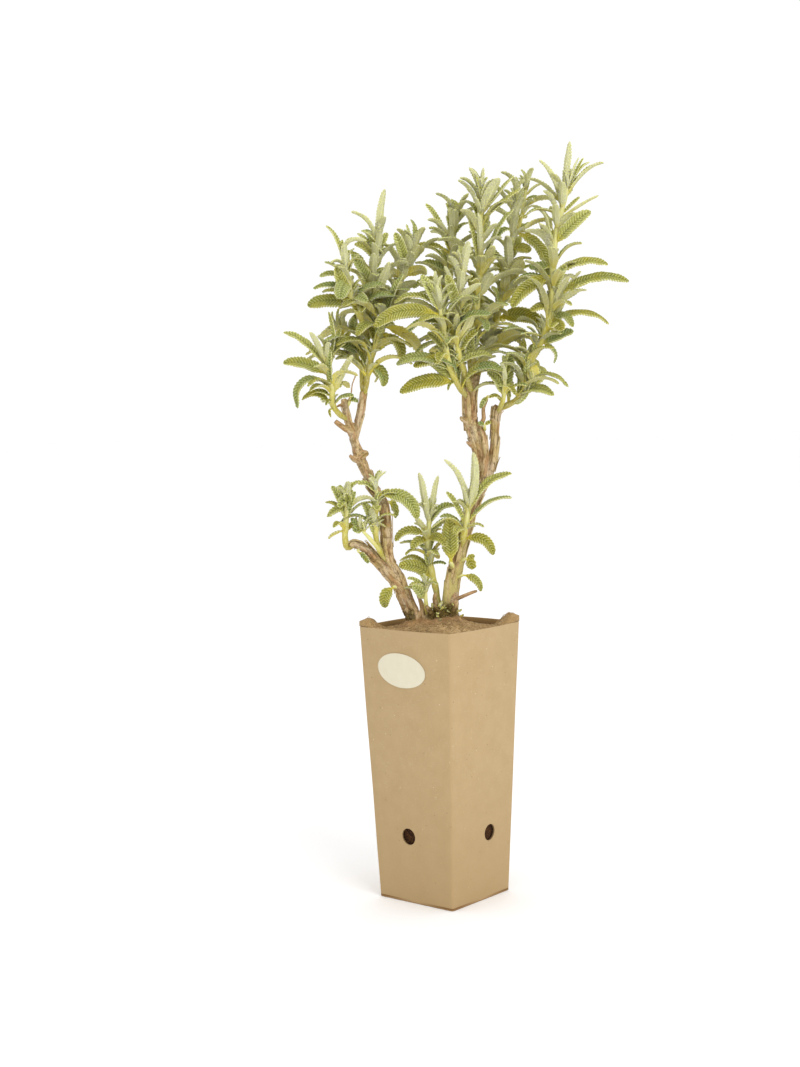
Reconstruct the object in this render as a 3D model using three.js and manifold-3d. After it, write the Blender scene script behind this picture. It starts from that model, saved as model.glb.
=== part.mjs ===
import * as THREE from 'three';
import { mergeVertices } from 'three/addons/utils/BufferGeometryUtils.js';
import Module from 'manifold-3d';

const wasm = await Module();
wasm.setup();

// A young shrubby phlomis in a folded card pot. Millimetres, +Z up, origin at the centre of the pot's
// underside, the pot's four walls facing along X and Y.

// Card pot
const POT_HEIGHT = 215;
const POT_TOP = 90;
const POT_FOOT = 73;
const CARD = 1.6;
const POT_FLOOR = 2.4;
const CORNER_RADIUS = 2;
const RIM_BULGE = 3.6;
const WALL_CELLS = 4;
const HOLE_DIAMETER = 13;
const HOLE_HEIGHT = 53;
const HOLE_SIDES = 16;
const PUNCH_LENGTH = 12;
const HOLE_OFFSETS = { front: -3.4, right: 8, back: 3.4, left: -8 };

// Label on the front wall
const LABEL_WIDTH = 47;
const LABEL_HEIGHT = 26.7;
const LABEL_THICKNESS = 0.6;
const LABEL_X = -1.5;
const LABEL_Z = 184;
const LABEL_TURN = THREE.MathUtils.degToRad(-4);
const LABEL_SIDES = 20;

// Soil and the fibre mat over it
const GAP = 0.3;
const MAT_THICKNESS = 2.4;
const MAT_EDGE = 211.5;
const MAT_MOUND = 7.5;
const MOUND_SPREAD = 17;
const PEAK_SPREAD = 8;
const MAT_PEAKS = [
  { x: -1, y: -1, rise: 8.5 },
  { x: 1, y: -1, rise: 1.5 },
  { x: 1, y: 1, rise: 9 },
  { x: -1, y: 1, rise: 4 },
];

// The plant was measured face on, in the upright plane through the pot's axis: x to the right and z up,
// with depth counted away from the eye. PLANT_TURN turns that plane into the pot's frame.
const PLANT_TURN = THREE.MathUtils.degToRad(39.9);
const EYE = new THREE.Vector3(-29.6, -1308.9, 382.4);

// Leaves
const BLADE_THICKNESS = 1.3;
const BASE_THICKENING = 0.7;
const LEAF_STEP = 11.5;
const FEWEST_RINGS = 2;
const MOST_RINGS = 4;
const WAVE = 0.1;
const RIPPLE = 0.35;
const CHANNEL = 0.22;
const KEEL_SHARE = 0.3;
const STALK_WIDTH = 0.2;
const STALK_SHARE = 0.25;
const ROOT_SHARE = 0.6;
const CLEARANCE = 0.35;
const SWINGS = [0, 12, -12, 24, -24, 38, -38, 54, -54].map(THREE.MathUtils.degToRad);

// Crossed pairs of leaves: from the lowest pair to the highest they rise, shorten and straighten, and
// each leaf strays from the rule by a seeded draw.
const PAIR_SLOPES = [5, 62].map(THREE.MathUtils.degToRad);
const PAIR_LENGTHS = [1, 0.72];
const PAIR_BOWS = [0.2, 0.04];
const BEARING_STRAY = THREE.MathUtils.degToRad(35);
const SLOPE_STRAY = THREE.MathUtils.degToRad(15);
const SIZE_STRAY = 0.15;

// Leafy stems, and the bark-covered wood that carries them
const STEM_SIDES = 5;
const STEM_STEP = 13;
const THINNEST_STEM = 1.2;
const WOOD_SEED = 41;
const THICK_LIMB = 4;
const LIMB_STEP = 9;
const LIMB_STEP_SHARE = 2.4;
const SPUR_STEP = 5;
const BARK = 0.15;

// Woody stems: each limb is a row of [x, z, depth, radius].
const WOOD = [
  // left trunk and its upper fork
  [[-16, 190, 0, 6.5], [-19, 214, 0, 7.2], [-23.5, 228, 0, 6.4], [-28, 240, 0, 6.2], [-31.5, 251, 0, 5.6],
    [-36.5, 261, 0, 4.9], [-39.6, 271, 0, 4.8], [-40.3, 285, 0, 4.7], [-40.4, 300, 0, 4.4],
    [-42.3, 312, 1, 4.1], [-50.5, 324, 2, 4.1], [-53.6, 332, 2, 4], [-57.4, 341, 1, 3.9],
    [-60.2, 349, 0, 4.5], [-63.2, 359, 0, 3.5], [-64.8, 366, 0, 3.9], [-67.3, 374, -1, 3],
    [-69.6, 384, -1, 2.8], [-71.2, 392.5, -1, 2.4]],
  [[-63.5, 362, 0, 3.2], [-61.3, 370, 1, 3], [-58.8, 379, 2, 2.9], [-56.6, 389, 2, 2.8],
    [-55.6, 398, 2, 2.5]],
  // low broken branch of the left trunk
  [[-29, 243, -1, 5], [-37, 252, -3, 4.6], [-45, 262, -4, 4.1], [-52, 270.5, -4, 3.9], [-59, 277, -4, 3.7],
    [-65.5, 280, -4, 3.3], [-69, 277.5, -4, 2.6]],
  // spurs and buds of the left trunk
  [[-64, 366, -1, 2.6], [-71.5, 370, -3, 2.4], [-78.3, 375.4, -4, 2.1]],
  [[-60, 344, -1, 2.4], [-64, 345.2, -2, 1.9], [-67.6, 348.7, -3, 1.4]],
  [[-60, 348, 0, 3], [-55.5, 349.6, -2, 2.8], [-52.8, 350.4, -2, 1.8]],
  [[-69.4, 388, 0, 1], [-66, 394, 0, 0.8], [-64, 404, 0, 0.7], [-61.2, 411, 0, 0.6]],
  [[-68.5, 386, -1, 1.6], [-73.5, 387.6, -2, 1.3], [-77, 386.4, -3, 0.8]],
  // right trunk and its two upper strands
  [[6, 190, 0, 6.5], [7.5, 214, 0, 7], [8.6, 230, 0, 6.2], [10.3, 244, 0, 5.8], [13.2, 258, 0, 5.7],
    [16.6, 272, 0, 5.6], [20.5, 286, 1, 5.1], [25, 300, 2, 5.1], [30.5, 315, 3, 5.4], [35, 329, 3, 5.4],
    [34.2, 342, 2, 4.7], [31.6, 354, 1, 4.3], [28.4, 366, 0, 4.8], [27.4, 380, 0, 4.9], [27.6, 394, 0, 4.8],
    [30, 403, 0, 4], [32.8, 409, -1, 3]],
  [[34, 320, 4, 4.5], [40.5, 333, 5, 4.4], [44, 345, 5, 4], [45.6, 358, 5, 3.8], [46.2, 370, 4, 3.3],
    [47, 379, 3, 3.8], [49.4, 384, 2, 4.2]],
  [[36, 330, -1, 2.6], [38, 344, -2, 2.6], [37.6, 356, -2, 2.4], [35.4, 365, -1, 2.2], [31, 371, 0, 2.4]],
  [[24.5, 366, 2, 2.8], [23.6, 378, 3, 2.7], [24, 391, 3, 2.7], [27, 401, 3, 2.4]],
  // spurs and twigs of the right trunk
  [[34, 369, -2, 2], [37.2, 375, -3, 1.8], [37.2, 383, -3, 1.7], [40.2, 390.5, -3, 1.2]],
  [[27, 371, -2, 2.2], [21.5, 374, -3, 1.8], [19, 376.6, -4, 1.2]],
  [[30, 352, -1, 2], [26, 355, -3, 1.3], [23.6, 357.6, -3, 0.9]],
  [[9, 232, -3, 2], [16, 235.2, -5, 1.7], [23, 238, -6, 1.5], [30, 240.4, -6, 1.2]],
  [[5, 228, -4, 2.4], [5.6, 243, -5, 2.2], [7.5, 255.5, -6, 1.5]],
];

// Old stub ends and lumps round the stool where the trunks meet: x, z, depth, radius of each lump.
const STOOL = [
  [-15, 215, 2, 8.5], [-6, 216, -2, 9], [6, 218, -2, 9.5], [1, 217, 6, 7.5],
];
const STOOL_SPURS = [
  [[-4, 219, -7, 2.6], [-8.5, 227, -12, 1.9], [-10.5, 229.5, -13, 1.3]],
  [[3, 220, -8, 2.6], [-1.5, 227, -13, 1.7], [-4.5, 229.5, -14, 1.2]],
  [[9, 220, -8, 3], [12, 228, -12, 2.3], [13.4, 233.5, -13, 1.5]],
  [[-2, 221, -2, 2.6], [-3.4, 234, -5, 1.9], [-3, 239.5, -6, 1.2]],
  [[-13, 217, -3, 2.6], [-13.5, 229, -5, 2], [-17, 239, -6, 1.2]],
];

// Leafy shoots. stem: [x, z, depth, radius]. leaves: [height on the stem where the leaf leaves it, tip x,
// tip z, reach in depth from base to tip, width, bow, face], where bow is how far the middle stands above
// the straight line to the tip and face is how much the upper side is turned to the eye, from -1 to 1.
// pairs: opposite leaves from one height to another, set about the bearing that turn gives.
const SHOOTS = [
  {
    name: 'low_branch_shoot',
    seed: 3,
    stem: [[-66, 278.5, -4, 2], [-71, 276.3, -5, 2.1], [-72.6, 284, -6, 2.4], [-72, 294, -7, 2.4],
      [-70.6, 306, -8, 2], [-69.4, 315, -8, 1.2]],
    leaves: [
      [290, -86.5, 284, -4, 6, 2, -0.45], [294, -87, 301.5, -6, 10, 10, 0.45],
      [302, -82, 325.5, 8, 9.5, 0, 0.95], [303, -76, 326, 14, 9.5, 0, 0.95],
      [306, -77, 308.5, -14, 9, 6, 0.65], [296, -71, 320, -11, 6, 1, 0.95],
      [308, -68.5, 328.5, -2, 9, -1, -0.95], [312, -57, 329, 6, 6, 5, 0.35],
      [304, -47, 313.5, -6, 7.5, 6, -0.75], [310, -60, 318, -14, 9, 2, 0.95],
    ],
    pairs: { from: 288, to: 306, count: 1, turn: 80, length: 26, width: 7 },
  },
  {
    name: 'trunk_fork_shoot',
    seed: 5,
    stem: [[-42, 266, -4, 1.6], [-48, 276.5, -11, 1.6], [-54, 284, -12, 1.4], [-59.5, 290, -12, 1]],
    leaves: [[289, -66.5, 290, -3, 9, 1, 0.85], [288, -61, 297.5, -5, 9, 1, 0.85]],
  },
  {
    name: 'under_branch_leaf',
    seed: 6,
    stem: [[-61.5, 277, -4, 1.4], [-63, 272.5, -7, 1.2]],
    leaves: [[273, -55, 264, -5, 6, -1, 0.65]],
  },
  {
    name: 'left_trunk_shoot',
    seed: 7,
    stem: [[-41, 268, -2, 2], [-47.6, 279, -4, 2.1], [-48.6, 297, -7, 2], [-47.4, 311, -10, 1.8],
      [-47, 322, -10, 1.2]],
    leaves: [
      [281, -57.5, 311.5, -5, 12, 1, 0.95], [288, -52, 308, -10, 7.5, 1, -0.85],
      [315, -39.5, 336, 2, 5, 4, -0.55], [317, -15, 298, -6, 13, 9, 0.85],
      [318, -62, 327, 0, 7.5, 3, 0.65], [319, -53, 331, -6, 7.5, 1, -0.75],
    ],
    pairs: { from: 300, to: 318, count: 1, turn: -80, length: 24, width: 7 },
  },
  {
    name: 'right_bud_leaf',
    seed: 8,
    stem: [[-41.5, 307, 1, 1.6], [-37.5, 312.5, 7, 1.2]],
    leaves: [[312, -33, 299, 3, 12.5, 4, 0.75]],
  },
  {
    name: 'low_trunk_leaf',
    seed: 9,
    stem: [[-30, 243, -2, 1.5], [-36, 245.5, -8, 1.1]],
    leaves: [[245, -42.5, 228, -3, 10.5, 6, 0.85]],
  },
  {
    name: 'stool_shoot',
    seed: 10,
    stem: [[-9.5, 222, -4, 1.6], [-10.5, 233, -12, 1.6], [-10.5, 242, -13, 1.1]],
    leaves: [
      [240, -23.5, 246, -3, 7.5, 4, 0.45], [234, -20, 246, -8, 9, 0, 0.95], [241, -25, 252, 6, 6, 2, 0.75],
      [238, -5, 249, -8, 6, 2, 0.65],
    ],
  },
  {
    name: 'centre_shoot',
    seed: 11,
    stem: [[0, 222, 1, 2.2], [-2, 240, 4, 2.3], [-4.6, 252, 4, 2.4], [-7.4, 268, 2, 2.5], [-8, 282, 0, 2.4],
      [-7, 293, 0, 1.8], [-6.5, 300, 0, 1.1]],
    leaves: [
      [250, -31, 261.5, -8, 12.5, 5, 0.85], [254, -33, 266.5, 4, 8, 7, 0.35],
      [284, -34.5, 281.5, -4, 10, 6, 0.65], [281, -21, 274.5, -10, 9, 4, 0.75],
      [286, -17, 299, -8, 7.5, 0, -0.65], [291, -13.5, 334.5, -3, 10, 1.5, -0.95],
      [292, 0.5, 331.5, 3, 9, -1, -0.95], [289, 15, 308, 8, 11, 6, 0.75], [281, 6, 276.5, -24, 8.5, 5, 0.9],
      [262, 6, 262.5, -8, 4.5, 1, 0.45],
    ],
    pairs: { from: 266, to: 292, count: 3, turn: 90, length: 27, width: 8 },
  },
  {
    name: 'right_trunk_facing_leaf',
    seed: 12,
    stem: [[12.6, 257, -2, 1.6], [9.4, 263.5, -10, 1.4]],
    leaves: [[263, 9.5, 297.5, -2, 12, 0, 0.95]],
  },
  {
    name: 'right_low_bud',
    seed: 13,
    stem: [[15.5, 263, -2, 1.4], [22.5, 266.4, -8, 1.1]],
    leaves: [[266, 26, 257, -3, 9, 2, 0.95], [266, 29, 267.8, 0, 4.5, 1, 0.45]],
  },
  {
    name: 'right_low_leaf',
    seed: 14,
    stem: [[12.4, 250, -2, 1.3], [19.5, 253.4, -8, 1]],
    leaves: [[253, 33.4, 239.5, -3, 8, 6, 0.65]],
  },
  {
    name: 'right_young_shoot',
    seed: 15,
    stem: [[18, 275, -2, 2.6], [20.5, 286, -9, 2.6], [23, 298, -10, 2.3], [24.4, 311, -10, 1.3]],
    leaves: [
      [284, -6, 291.5, -8, 8, 12, -0.55], [290, 7.5, 319, -3, 7.5, 2, 0.65],
      [294, 6.5, 344.5, 0, 9, 5, -0.85], [297, 29, 348.5, 5, 11, 3, -0.95],
      [299, 58.5, 332.5, -6, 10.5, 7, 0.75], [292, 58, 314.5, -10, 9, 5, 0.55],
      [300, 30, 331, -11, 6, 1, -0.75], [281, 44, 268, -6, 9.5, 9, 0.65],
    ],
    pairs: { from: 284, to: 304, count: 2, turn: -90, length: 30, width: 8 },
  },
  {
    name: 'left_crown_low_shoot',
    seed: 16,
    stem: [[-68.2, 376, -1, 1.8], [-75, 381, -8, 2], [-79.6, 388, -12, 2.3], [-80, 398, -16, 2.5],
      [-82, 410, -18, 2.3], [-83.5, 420, -18, 1.8], [-84, 428, -18, 1.2]],
    leaves: [
      [406, -108, 385.5, -8, 10.5, 13, 0.55], [393, -99, 396, -3, 6, 5, 0.35],
      [391, -85.5, 387.5, -5, 3.5, 3, 0.55], [384, -81.5, 378, -6, 3, 5, 0.15],
      [411, -117.5, 421.5, -5, 12.5, 3, 0.95], [414, -116.5, 446, 4, 10, 5, 0.65],
      [417, -96, 445.5, -10, 7.5, 1, -0.75], [420, -82.5, 459.5, 2, 7.5, -5, 0.35],
      [418, -71.5, 447, 5, 9, -1, 0.75], [396, -59, 411, -8, 9, 10, -0.65],
      [394, -72, 427, -14, 7.5, 1, -0.95], [400, -77, 430, -17, 6, 0, 0.95],
    ],
    pairs: { from: 396, to: 420, count: 3, turn: 85, length: 30, width: 8 },
  },
  {
    name: 'left_fork_leaves',
    seed: 18,
    stem: [[-69, 385, -1, 1.2], [-66, 391, -5, 1]],
    leaves: [[390, -60, 389.5, -4, 5, 3, 0.55], [390, -64, 396, -3, 4.5, 1, 0.55]],
  },
  {
    name: 'left_crown_main_shoot',
    seed: 19,
    stem: [[-55.4, 394, 3, 2.2], [-56.4, 412, 4, 2], [-54.2, 428, 4, 1.9], [-52, 443, 4, 1.9],
      [-50, 460, 4, 1.9], [-47, 480, 4, 1.8], [-43.4, 500, 3, 1.6], [-42, 514, 3, 1]],
    leaves: [
      [506, -36, 552.5, 3, 10, 3, -0.95], [506, -62, 537, -4, 7.5, 6, -0.45],
      [511, -54, 522.5, -9, 5, 1, 0.45], [502, -57, 520.5, 3, 7.5, 0, 0.65],
      [499, -60, 511.5, -7, 9, 2, 0.85], [478, -62, 503.5, -15, 14, -1, 0.95],
      [482, -45, 505, -13, 10, 0, -0.75], [496, -38, 505, -9, 8, 6, -0.45],
      [464, -33.5, 497.5, -11, 9, -2, -0.95], [499, -34.5, 520, 6, 9, 1, 0.65],
      [452, -50, 431, -14, 6, 0, 0.65], [428, -75, 437.5, -8, 12.5, 2, 0.95],
    ],
    pairs: { from: 450, to: 502, count: 5, turn: 90, length: 34, width: 9 },
  },
  {
    name: 'left_crown_outer_shoot',
    seed: 20,
    stem: [[-51.8, 441, 3, 2], [-57, 456, -10, 2.3], [-63, 470, -17, 2.4], [-66, 484, -22, 2.1],
      [-67.6, 497, -22, 1.2]],
    leaves: [
      [464, -98, 465.5, -6, 12.5, 5, 0.65], [470, -74, 494.5, -14, 14, -3, 0.95],
      [478, -93, 478.5, -2, 8, 3, 0.55], [486, -88, 488, 6, 9, 2, 0.35], [492, -80, 527.5, 3, 8, 2, 0.45],
      [492, -50, 514.5, -4, 7.5, 11, -0.35], [494, -79, 497.5, -7, 6, 3, 0.15],
      [489, -69.5, 515.5, 9, 6, 1, 0.35], [482, -72, 470, -22, 14, 4, 0.95],
      [458, -58, 486, -8, 8, -1, -0.9],
    ],
    pairs: { from: 462, to: 488, count: 3, turn: 90, length: 30, width: 8 },
  },
  {
    name: 'left_crown_side_shoot',
    seed: 21,
    stem: [[-52, 441, 5, 1.4], [-60, 444.5, 12, 1.4], [-69, 446, 16, 1.2], [-73, 447, 18, 1.2]],
    leaves: [
      [447, -81, 446.5, -4, 7.5, 4, 0.55], [446, -77, 435.5, -6, 10, 1, -0.75],
      [446, -71, 456.5, -3, 6, 0, -0.55], [445, -61, 454, -10, 10, 1, 0.95],
      [444.5, -58, 461, 4, 9, 1, 0.55], [445.5, -66, 437, -7, 9, 2, 0.75],
    ],
  },
  {
    name: 'left_crown_inner_shoot',
    seed: 22,
    stem: [[-54.6, 396, 1, 1.8], [-51, 415, -3, 2], [-46.6, 430, -8, 2], [-42, 443, -10, 1.9],
      [-37.5, 456, -5, 1.8], [-31, 470, 5, 1.8], [-24, 484, 12, 1.7], [-18, 497, 18, 1.5],
      [-15, 508, 20, 1.2]],
    leaves: [
      [442, -25.5, 420.5, -7, 10.5, 7, 0.75], [448, -9, 419, -3, 12.5, 8, -0.65],
      [452, -24, 488, -9, 10, -2, 0.75], [483, -36, 484, -9, 10, 5, -0.65],
      [485, -3, 488, -12, 10, 6, -0.55], [492, -28, 519.5, -11, 13, 0, 0.95],
      [500, -18.5, 526, 2, 7, 0, 0.65], [501, -14.5, 524.5, 6, 6, 0, 0.65],
      [488, -15.5, 505, -12, 11, 1, -0.95], [418, -40, 401, -2, 11, 6, 0.75],
      [416, -46, 404, 6, 9, 4, 0.55],
    ],
    pairs: { from: 446, to: 498, count: 4, turn: 90, length: 32, width: 9 },
  },
  {
    name: 'middle_crown_front_shoot',
    seed: 23,
    stem: [[25, 392, -2, 2], [18.6, 400, -11, 2.2], [13, 412, -20, 2.2], [9.6, 425, -29, 2.2],
      [8, 438, -32, 2.1], [6.6, 450, -34, 1.9], [5, 462, -34, 1.5], [3.4, 471, -34, 1.2]],
    leaves: [
      [403, -28, 396.5, -6, 12.5, 7, 0.95], [413, -2.5, 418.5, -4, 7, 2, 0.55],
      [421, -17, 416.5, -3, 10, 4, 0.85], [428, -5, 443, 5, 7.5, 1, 0.75], [402, 9.5, 397, -8, 3, 4, 0.15],
      [448, -20, 443.5, -6, 10, 6, 0.45], [455, -46.5, 449, -6, 14, 9, 0.9],
      [460, -31, 466, 3, 11, 7, 0.45], [456, -8.5, 487, -5, 11, 1, 0.95],
      [462, 1, 489.5, 3, 7.5, 0, -0.75], [460, 2.5, 479, -9, 8, -1, -0.85],
    ],
    pairs: { from: 420, to: 456, count: 3, turn: -90, length: 28, width: 8 },
  },
  {
    name: 'middle_crown_back_shoot',
    seed: 24,
    stem: [[25, 394, 4, 2], [17.5, 413, 14, 2], [12, 432, 24, 2], [8.6, 450, 32, 2], [8.6, 468, 35, 1.9],
      [12, 487, 35, 1.8], [15, 505, 35, 1.7], [16.4, 521, 35, 1.4], [17, 531, 35, 1.2]],
    leaves: [
      [500, -3.5, 542, 3, 9, 2, 0.65], [507, -8, 529.5, -6, 7.5, 5, -0.35],
      [502, -19, 504, -9, 9, 8, 0.55], [490, -6, 502, -9, 7.5, 3, -0.45], [487, -8, 497, -3, 10, 2, 0.75],
      [512, 14, 538, -8, 10, 1, -0.85], [526, 11.5, 541.5, 0, 4.5, 0, 0.45],
      [515, 28, 549, -3, 9.5, 3, 0.55], [518, 22, 536, -6, 7.5, 1, 0.75], [478, -16, 477, -4, 10, 5, 0.65],
    ],
    pairs: { from: 446, to: 516, count: 6, turn: 90, length: 33, width: 9 },
  },
  {
    name: 'middle_crown_near_shoot',
    seed: 25,
    stem: [[28, 397, -3, 2.3], [23, 411, -13, 2.4], [18.6, 425, -20, 2.4], [18, 440, -24, 2.3],
      [19, 456, -24, 2.1], [20.6, 472, -22, 1.8], [21.6, 485, -21, 1.2], [22, 492, -21, 1.2]],
    leaves: [
      [455, 10.5, 486.5, -8, 12.5, 0, 0.95], [466, 9.5, 493.5, 0, 7.5, 0, -0.65],
      [476, 20, 505.5, 1, 7, 1, -0.75], [477, 28, 512, -5, 10.5, 1, -0.95],
      [441, 33, 481, -11, 9, 8, -0.85], [428, 5.5, 440.5, -9, 10, 1, -0.85],
      [430, 12, 457, -13, 8, 0, -0.95], [434, 17, 459, -17, 8, 0, -0.95], [420, 10, 427, -8, 6, 1, 0.65],
      [426, 30, 444, -12, 10, 2, 0.75],
    ],
    pairs: { from: 430, to: 470, count: 3, turn: -90, length: 26, width: 8 },
  },
  {
    name: 'middle_crown_main_shoot',
    seed: 26,
    stem: [[29, 398, 0, 2.6], [28.6, 418, 0, 3], [30, 434, 0, 3.1], [32, 450, 1, 3.1], [33.5, 468, 2, 3],
      [36, 486, 3, 2.8], [37, 505, 4, 2.5], [37.5, 522, 4, 2.1], [38, 536, 4, 1.7], [38.5, 545, 4, 1]],
    leaves: [
      [532, 30, 568.5, -2, 7.5, 4, -0.65], [538, 40.5, 567.5, 1, 6, 0, -0.85],
      [529, 53, 559.5, -9, 14, 2, -0.95], [534, 62.5, 562.5, 3, 7, -1, 0.35],
      [528, 67.5, 552.5, -5, 7.5, -1, 0.45], [484, 61, 537, -6, 10, 2, 0.55],
      [482, 48, 509, -13, 9, 2, -0.85], [488, 28.5, 532, -3, 8, 0, 0.75],
      [492, 32.5, 533.5, -7, 7, 0, -0.65], [466, 46, 488, -13, 10, 1, -0.75],
      [446, 43, 462, -14, 10, 2, 0.65], [442, 22, 462, -10, 10, 0, -0.85], [532, 34, 546, -8, 6, 0, 0.45],
    ],
    pairs: { from: 446, to: 528, count: 5, turn: 90, length: 32, width: 9 },
  },
  {
    name: 'middle_crown_right_shoot',
    seed: 27,
    stem: [[30, 396, 4, 2.2], [36, 418, 14, 2.4], [43.6, 438, 21, 2.6], [50.6, 458, 25, 2.6],
      [56, 476, 25, 2.4], [59.6, 494, 23, 2.1], [62, 515, 23, 1.9], [64, 530, 23, 1.7],
      [65.6, 540, 23, 1.2]],
    leaves: [
      [532, 60.6, 543.5, -3, 5, 0, 0.45], [520, 50, 513, -8, 7.5, 4, 0.45],
      [518, 89, 484, -6, 13, 8, 0.75], [514, 76, 515.5, 5, 7.5, 4, -0.35],
      [505, 75.5, 503, -9, 11, 2, 0.85], [484, 57.5, 515.5, -10, 11, 0, -0.95],
      [476, 70.5, 496.5, -9, 12, 1, -0.95], [470, 56, 492, -15, 10, 0, -0.95],
      [452, 84, 447, -13, 14, 7, 0.95], [444, 65, 418, -15, 9, 12, -0.45],
      [446, 68.5, 419, -6, 8, 12, 0.35], [438, 71.5, 429, 3, 9, 5, 0.45], [462, 46, 476, -16, 10, 1, 0.75],
    ],
    pairs: { from: 446, to: 512, count: 5, turn: 90, length: 33, width: 9 },
  },
  {
    name: 'crown_star_shoot',
    seed: 28,
    stem: [[61.2, 508, 22, 1.6], [66, 520, 31, 1.6], [70, 533, 36, 1.5], [72, 545, 38, 1.4],
      [73, 550, 38, 1.2]],
    leaves: [
      [541, 66, 560.5, -1, 6, -1, 0.55], [546, 75.5, 557.5, 2, 4, 0, 0.45],
      [545, 84.5, 555, -2, 6, 1, 0.35], [542, 86, 542, -5, 8, 3, 0.55], [547, 71, 556, 2, 4, 0, 0.45],
      [530, 77, 538.5, -6, 9, 1, 0.45],
    ],
    pairs: { from: 526, to: 544, count: 1, turn: 90, length: 16, width: 5 },
  },
  {
    name: 'right_trunk_shoot',
    seed: 29,
    stem: [[48.5, 380, -1, 1.7], [52.6, 389, -10, 1.7], [54, 400, -15, 1.6], [54.6, 411, -18, 1.2]],
    leaves: [
      [389, 59, 425, -4, 12, -6, 0.95], [391, 41, 411.5, -3, 9.5, 2, 0.85],
      [400, 52, 418, -8, 7.5, 0, -0.85], [388, 41, 391, -5, 3.5, 4, 0.35],
    ],
    pairs: { from: 394, to: 406, count: 1, turn: 90, length: 24, width: 7 },
  },
  {
    name: 'strand_sprout',
    seed: 30,
    stem: [[38, 366, -2, 1.2], [38, 371, -7, 1]],
    leaves: [[370, 32.5, 371.5, -2, 4, 1, 0.55], [370, 43.5, 372, -1, 4, 1, 0.55]],
  },
  {
    name: 'twig_tip_leaves',
    seed: 31,
    stem: [[39.4, 389, -3, 1.1], [41, 393, -7, 0.9]],
    leaves: [[392, 34.5, 382.5, -2, 4.5, 5, 0.65], [392, 51, 388, -2, 3.5, 4, 0.35]],
  },
  {
    name: 'right_crown_shoot',
    seed: 32,
    stem: [[49.5, 382, 2, 2.2], [57, 385.5, -3, 2.2], [64, 389.6, -8, 2.1], [69, 397, -10, 2.1],
      [70.6, 407, -10, 2.1], [74.4, 417, -10, 2.2], [80.4, 429, -10, 2.4], [87, 442, -10, 2.6],
      [91, 456, -10, 2.7], [92, 472, -10, 2.6], [93, 490, -10, 2.4], [94.4, 508, -8, 2.2],
      [98, 526, -5, 2.1], [102.4, 541, -3, 1.8], [105, 551, -3, 1.2]],
    leaves: [
      [541, 108, 585.5, 2, 9, -2, -0.75], [544, 132.5, 571.5, -3, 9, 3, 0.35],
      [547, 124, 572.5, 6, 5, 2, 0.15], [548, 117, 574, 2, 4.5, 0, 0.45],
      [548, 113, 574.5, -3, 4, 0, 0.45], [534, 84.5, 573.5, 0, 7.5, 3, -0.65],
      [541, 100, 555, -4, 4.5, 0, 0.15], [531, 72, 532.5, -8, 7, 4, 0.25], [527, 71, 521, 2, 6, 3, -0.35],
      [508, 122, 533, -12, 14, 1, 0.95], [528, 128, 545.5, 3, 6, -1, -0.45],
      [530, 114, 544.5, 7, 5, 0, 0.45], [506, 87.5, 534, -6, 9, -1, 0.65],
      [484, 136, 492.5, -4, 12.5, 6, 0.65], [466, 152.5, 480, 3, 12, 8, 0.65],
      [455, 111.5, 478, -6, 8, -1, 0.45], [452, 113, 488, 5, 8, 1, -0.65], [450, 137, 447, 4, 10, 8, 0.55],
      [446, 108.5, 444.5, -12, 9.5, 9, 0.75], [431, 108, 441.5, -7, 12, 1, 0.85],
      [433, 94, 416, 3, 7.5, 6, 0.55], [448, 99, 442, -18, 11, 2, 0.95],
      [484, 60.5, 461, -10, 14, 3, 0.95], [480, 62, 467, 1, 9, 3, 0.75], [477, 61, 479, 6, 7.5, 7, 0.45],
      [458, 74.5, 457.5, -4, 9, 3, 0.65], [437, 66, 441, -9, 6, 1, -0.35],
      [416, 76, 402.5, -8, 11, 2, -0.95], [413, 76, 431, 5, 9, 1, 0.85], [490, 74, 491, 5, 10, 2, 0.75],
      [472, 103, 492, -15, 11, 0, 0.95], [452, 103, 484, -11, 8, 1, -0.75],
    ],
    pairs: { from: 440, to: 534, count: 7, turn: 90, length: 34, width: 9 },
  },
];

// Colours
const COLOURS = {
  card: '#bfa57a',
  label: '#dcd6c0',
  soil: '#2a1a12',
  mat: '#a88252',
  wood: '#9c7f58',
  leaf: '#8c9a5c',
};

function shade(hex, roughness) {
  return new THREE.MeshStandardMaterial({ color: hex, roughness, metalness: 0 });
}

function named(name, geometry, material) {
  const mesh = new THREE.Mesh(geometry, material);
  mesh.name = name;
  return mesh;
}

// A solid for joining and cutting, and back to a plain geometry.
function solidOf(geometry) {
  const bare = geometry.clone();
  bare.deleteAttribute('normal');
  bare.deleteAttribute('uv');
  const merged = mergeVertices(bare, 1e-4);
  const vertProperties = new Float32Array(merged.attributes.position.array);
  const triVerts = new Uint32Array(merged.index.array);
  return new wasm.Manifold(new wasm.Mesh({ numProp: 3, vertProperties, triVerts }));
}

function geometryOf(solid) {
  const mesh = solid.getMesh();
  const geometry = new THREE.BufferGeometry();
  geometry.setAttribute('position', new THREE.BufferAttribute(mesh.vertProperties, 3));
  geometry.setIndex(new THREE.BufferAttribute(mesh.triVerts, 1));
  return geometry;
}

// Solids grown together; a loose scrap that the joining leaves is dropped.
function joined(solids) {
  const whole = solids.reduce((sum, piece) => sum.add(piece));
  return whole.decompose().reduce((largest, piece) => (piece.volume() > largest.volume() ? piece : largest));
}

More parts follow.
